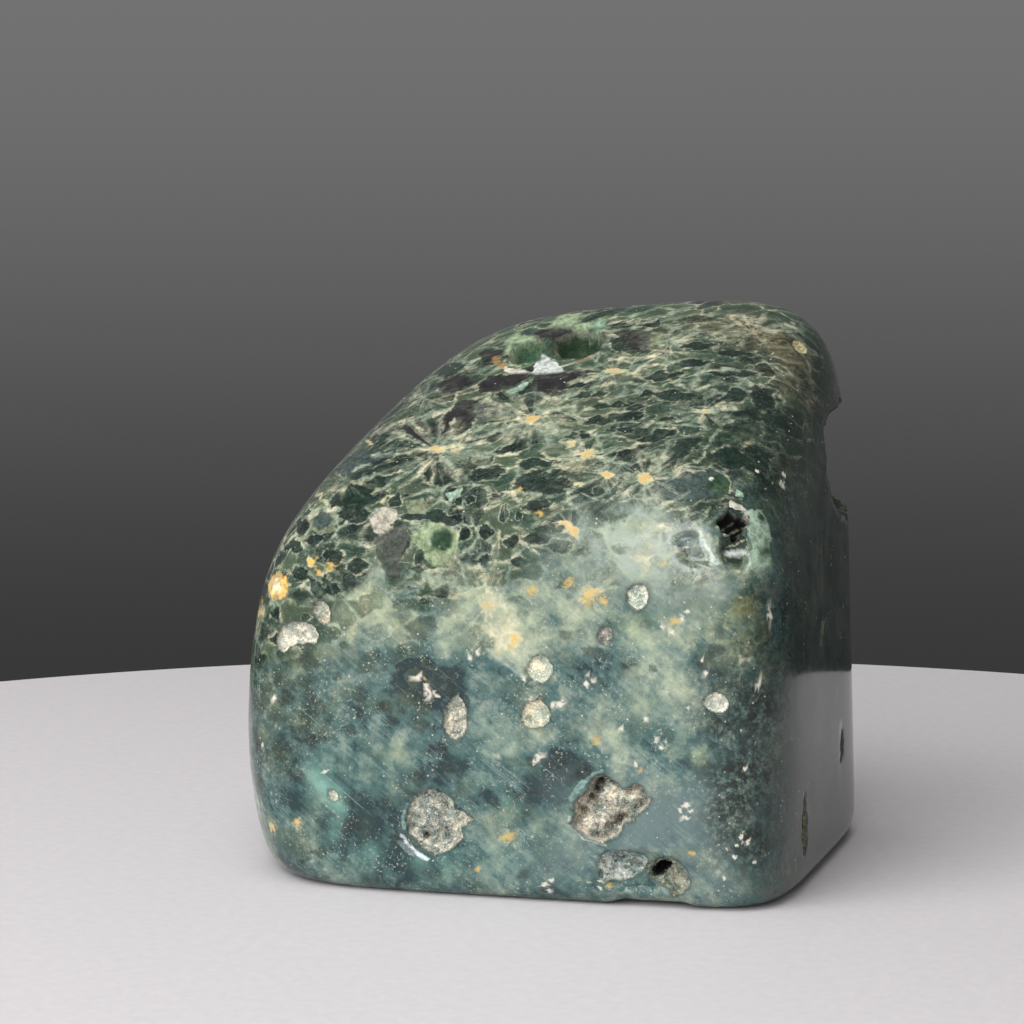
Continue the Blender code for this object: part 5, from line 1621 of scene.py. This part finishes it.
def lowerColour(s, cell, placed):
    slanted = s.turned(s.spot, pattern["brushTurn"], "Y_AXIS")
    brushed = s.noise(s.stretched(slanted, "brushStretch"), 0.9, 5.0, 0.65)
    colour = s.over(cloudColour(s, brushed), placed, s.placedCell, 0.62)

    # below the veins some cells go on, half sunk in the cloud
    core = s.step(s.plus(s.cellEdge, s.times(s.ragged, 0.4)), 0.26, 0.50)
    sunk = s.times(s.step(s.rise, *pattern["sunkFrom"]), core)
    sunk = s.times(sunk, s.step(s.cellShade[1], 0.25, 0.55, 0.25, 1.0))
    colour = s.over(colour, cell, sunk, 0.80)
    orb = s.times(s.attribute("orb"), s.spread(s.grain, 0.35, 0.60, 0.35, 0.9))
    colour = s.over(colour, "orb", orb)
    colour = s.over(colour, "glow", s.attribute("glow"), 0.75)

    # flecks in crowds, and long scratches of the polish
    crowd = s.step(s.noise(s.spot, 3.4, 3.0, 0.6), 0.42, 0.60)
    fleck = s.step(s.noise(s.spot, 0.36, 3.0, 0.7), 0.57, 0.68)
    fleck = s.times(fleck, s.spread(crowd, 0.0, 1.0, 0.10, 0.95))
    colour = s.over(colour, s.mix(s.grain, "seaGrey", "cream"), fleck)
    scratch = s.noise(s.stretched(slanted, "scratchStretch"), 1.0, 2.0, 0.5)
    scratch = s.times(s.step(scratch, 0.60, 0.70), s.step(s.broad, 0.42, 0.58))
    return s.over(colour, "scratch", scratch, 0.20)


def stained(s, colour, ray):
    # green and umber patches, then iron stains, which the hidden sides have as well
    green = s.times(s.attribute("green"), 0.72, clamp=True)
    green = s.times(green, s.step(s.grain, 0.66, 0.44))
    bottle = s.mix(s.step(s.grain, 0.3, 0.8), "black", "bottle")
    colour = s.over(colour, bottle, green)
    umber = s.times(s.attribute("umber"), s.spread(s.grain, 0.35, 0.62, 0.25, 0.75))
    drab = s.mix(s.step(s.feather, 0.36, 0.62), "umber", "drab")
    colour = s.over(colour, drab, umber)

    hidden = s.noise(s.vector("ADD", s.spot, (9.0, 31.0, 4.0)), 5.0, 2.0, 0.5)
    hidden = s.times(s.times(s.step(hidden, 0.62, 0.74), s.attribute("hidden")), 1.3)
    ochre = s.calc("MAXIMUM", s.attribute("ochre"), hidden)
    ochre = s.times(ochre, s.spread(s.noise(s.spot, 0.8, 5.0, 0.7), 0.3, 0.7, 0.2, 1.7))
    ochre = s.times(ochre, s.spread(s.feather, 0.35, 0.60, 0.45, 1.1))
    ochre = s.times(ochre, s.spread(ray, 0.0, 1.0, 0.75, 1.5))
    stain = s.mix(s.step(ochre, 0.35, 0.95), "cream", "ochre")
    stain = s.over(stain, "amber", s.step(ochre, 1.0, 1.7), 0.85)
    return s.over(colour, stain, s.step(ochre, 0.05, 0.75), 0.8)


def rightEnd(s, colour):
    # the right end is painted darker, as shade, with upright streaks
    shaded = s.plus(s.right, s.spread(s.patchy, 0.3, 0.7, -2.0, 2.0))
    dark = s.mix(s.step(s.grain, 0.38, 0.66), "black", "deepGreen")
    streak = s.noise(s.vector("MULTIPLY", s.spot, (1.0, 1.0, 0.16)), 1.1, 4.0, 0.65)
    streak = s.times(s.step(streak, 0.58, 0.74), s.step(s.right, 36.0, 38.0))
    colour = s.over(colour, dark, s.step(shaded, *pattern["paintedShadeFrom"]), 0.80)
    return s.over(colour, "streak", streak, 0.45)


def placedFacets(s, colour):
    # the single facets, each in its own tone
    tint = s.vector("SCALE", s.attribute("facetTone", "Vector"), s.step(s.grain, 0.32, 0.66, 0.42, 1.42))
    share = s.plus(s.attribute("facet"), s.swing(s.ragged, 1.1))
    return s.over(colour, tint, s.step(share, 0.30, 0.75), 0.88)


def paintedReflections(s, colour):
    # painted reflections lie over parts of the front: a pale haze of the soft light over the bend, and a grey
    # haze of the table lower down
    paintedSheen = s.spread(s.noise(s.spot, 4.0, 4.0, 0.6), 0.3, 0.7, 0.20, 0.6)
    paintedSheen = s.times(s.attribute("paintedSheen"), paintedSheen)
    paintedSheen = s.times(paintedSheen, s.spread(s.patchy, 0.38, 0.62, 1.5, 0.15))
    colour = s.over(colour, "paintedSheen", paintedSheen)
    paintedTableSheen = s.times(s.attribute("paintedTableSheen"), s.spread(s.patchy, 0.35, 0.65, 0.65, 0.35))
    return s.over(colour, "paintedTableSheen", paintedTableSheen)


def glintsAndMarks(s, colour):
    # white specks all over the polish, which are painted glints of tiny pits, and the marks that the
    # photograph places
    dot = s.cells(s.spot, pattern["glintSpeckSize"])
    dots = s.minus(1.0, s.step(dot["Distance"], 0.08, 0.26))
    dots = s.times(dots, s.step(s.channels(dot["Color"])[0], 0.80, 0.98))
    dots = s.times(dots, s.step(s.noise(s.spot, 3.0, 2.0, 0.5), 0.40, 0.58))
    colour = s.over(colour, "chalk", dots, 0.8)
    colour = s.over(colour, "chalk", s.attribute("whiteMark"))
    return s.over(colour, "ochre", s.attribute("amberMark"), 0.6)


def strokes(s, colour, vein):
    # the veins and rays that the photograph places, feathered
    stroke = s.plus(s.attribute("vein"), s.swing(s.feather, 2.2))
    stroke = s.times(s.step(stroke, -0.1, 1.1), s.spread(s.grain, 0.35, 0.58, 0.45, 1.0))
    return s.over(colour, vein, stroke, 0.72)


def polishRoughness(s):
    low, high = pattern["polish"]
    gloss = s.spread(s.noise(s.spot, 1.6, 5.0, 0.65), 0.3, 0.7, low, high)
    return s.times(gloss, s.step(s.right, *pattern["glossyFrom"], 1.0, 0.35))


def polishedJasper():
    material, surface = newMaterial("polishedJasper")
    s = Jasper(material.node_tree)
    cell, placed = cellColours(s)
    vein = veinColour(s)
    ray = rayShare(s)
    colour = s.mix(s.step(s.rise, *pattern["cellsFrom"]), lowerColour(s, cell, placed),
                   upperColour(s, cell, placed, vein))
    colour = placedFacets(s, rightEnd(s, stained(s, colour, ray)))
    colour = s.over(colour, vein, ray, 0.5)
    colour = glintsAndMarks(s, paintedReflections(s, colour))

    # rough lining of the vugs, in shade where it is deep
    lined = s.attribute("lined")
    crumbs, relief = layCrust(s, s.spot)
    colour = s.over(colour, "deepGreen", s.attribute("rim"), 0.62)
    colour = s.over(colour, crumbs, lined)
    rough = s.spread(lined, 0.0, 1.0, polishRoughness(s), pattern["liningRoughness"])
    bump = {"Height": s.times(relief, lined), "Strength": 0.6, "Distance": pattern["liningRelief"] * mm}
    bump = addNode(s.tree, "ShaderNodeBump", bump).outputs[0]
    s.give(surface, {"Base Color": strokes(s, colour, vein), "Roughness": rough, "Normal": bump,
                     "IOR": pattern["refraction"]})
    return material


def paleTable():
    material, surface = newMaterial("paleTable")
    s = Nodes(material.node_tree)
    shade = s.spread(s.noise(s.millimetres(), 1.5, 3.0, 0.6), 0.3, 0.7)
    dark, light = (toLinear(*colour) for colour in studio["tableTones"])
    s.give(surface, {"Base Color": s.mix(shade, dark, light), "Roughness": studio["tableRoughness"]})
    return material


def makeTable():
    disc = bmesh.new()
    radius = studio["tableRadius"] * mm
    bmesh.ops.create_circle(disc, cap_ends=True, radius=radius, segments=studio["tableSides"])
    bmesh.ops.translate(disc, verts=disc.verts, vec=Vector((*studio["tableCentre"], 0)) * mm)
    mesh = toMesh(disc, "paleTable")
    mesh.materials.append(paleTable())
    addPiece("paleTable", mesh)


def makeLights():
    world = bpy.data.worlds.new("studio")
    world.use_nodes = True
    s = Nodes(world.node_tree)
    facing = addNode(s.tree, "ShaderNodeTexCoord").outputs["Generated"]
    shade = s.step(s.split(facing)[2], -0.20, 0.06, studio["surroundLow"], studio["surroundHigh"])
    feed(s.tree, s.tree.nodes["Background"].inputs[0], shade)
    bpy.context.scene.world = world
    for name, (place, size, power) in softboxes.items():
        data = bpy.data.lights.new(name, "AREA")
        data.shape = "RECTANGLE"
        data.size, data.size_y = (side * mm for side in size)
        data.energy = power
        lamp = addPiece(name, data)
        lamp.location = Vector(place) * mm
        aim = Vector((0, 0, studio["aimHeight"])) * mm - lamp.location
        lamp.rotation_euler = aim.to_track_quat("-Z", "Y").to_euler()
        lamp.visible_glossy = name == "frontLight"


camera = makeCamera()
makeTable()
makeLights()
print("camera, table and lights set")
stonePiece = makeStone(camera, polishedJasper())
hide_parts("stone")
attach(stonePiece, "root")
grainPiece = makeGrains(stonePiece, vugGrit())
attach(grainPiece, "root")
bpy.context.scene.view_settings.view_transform = "Standard"

print("stone finished")
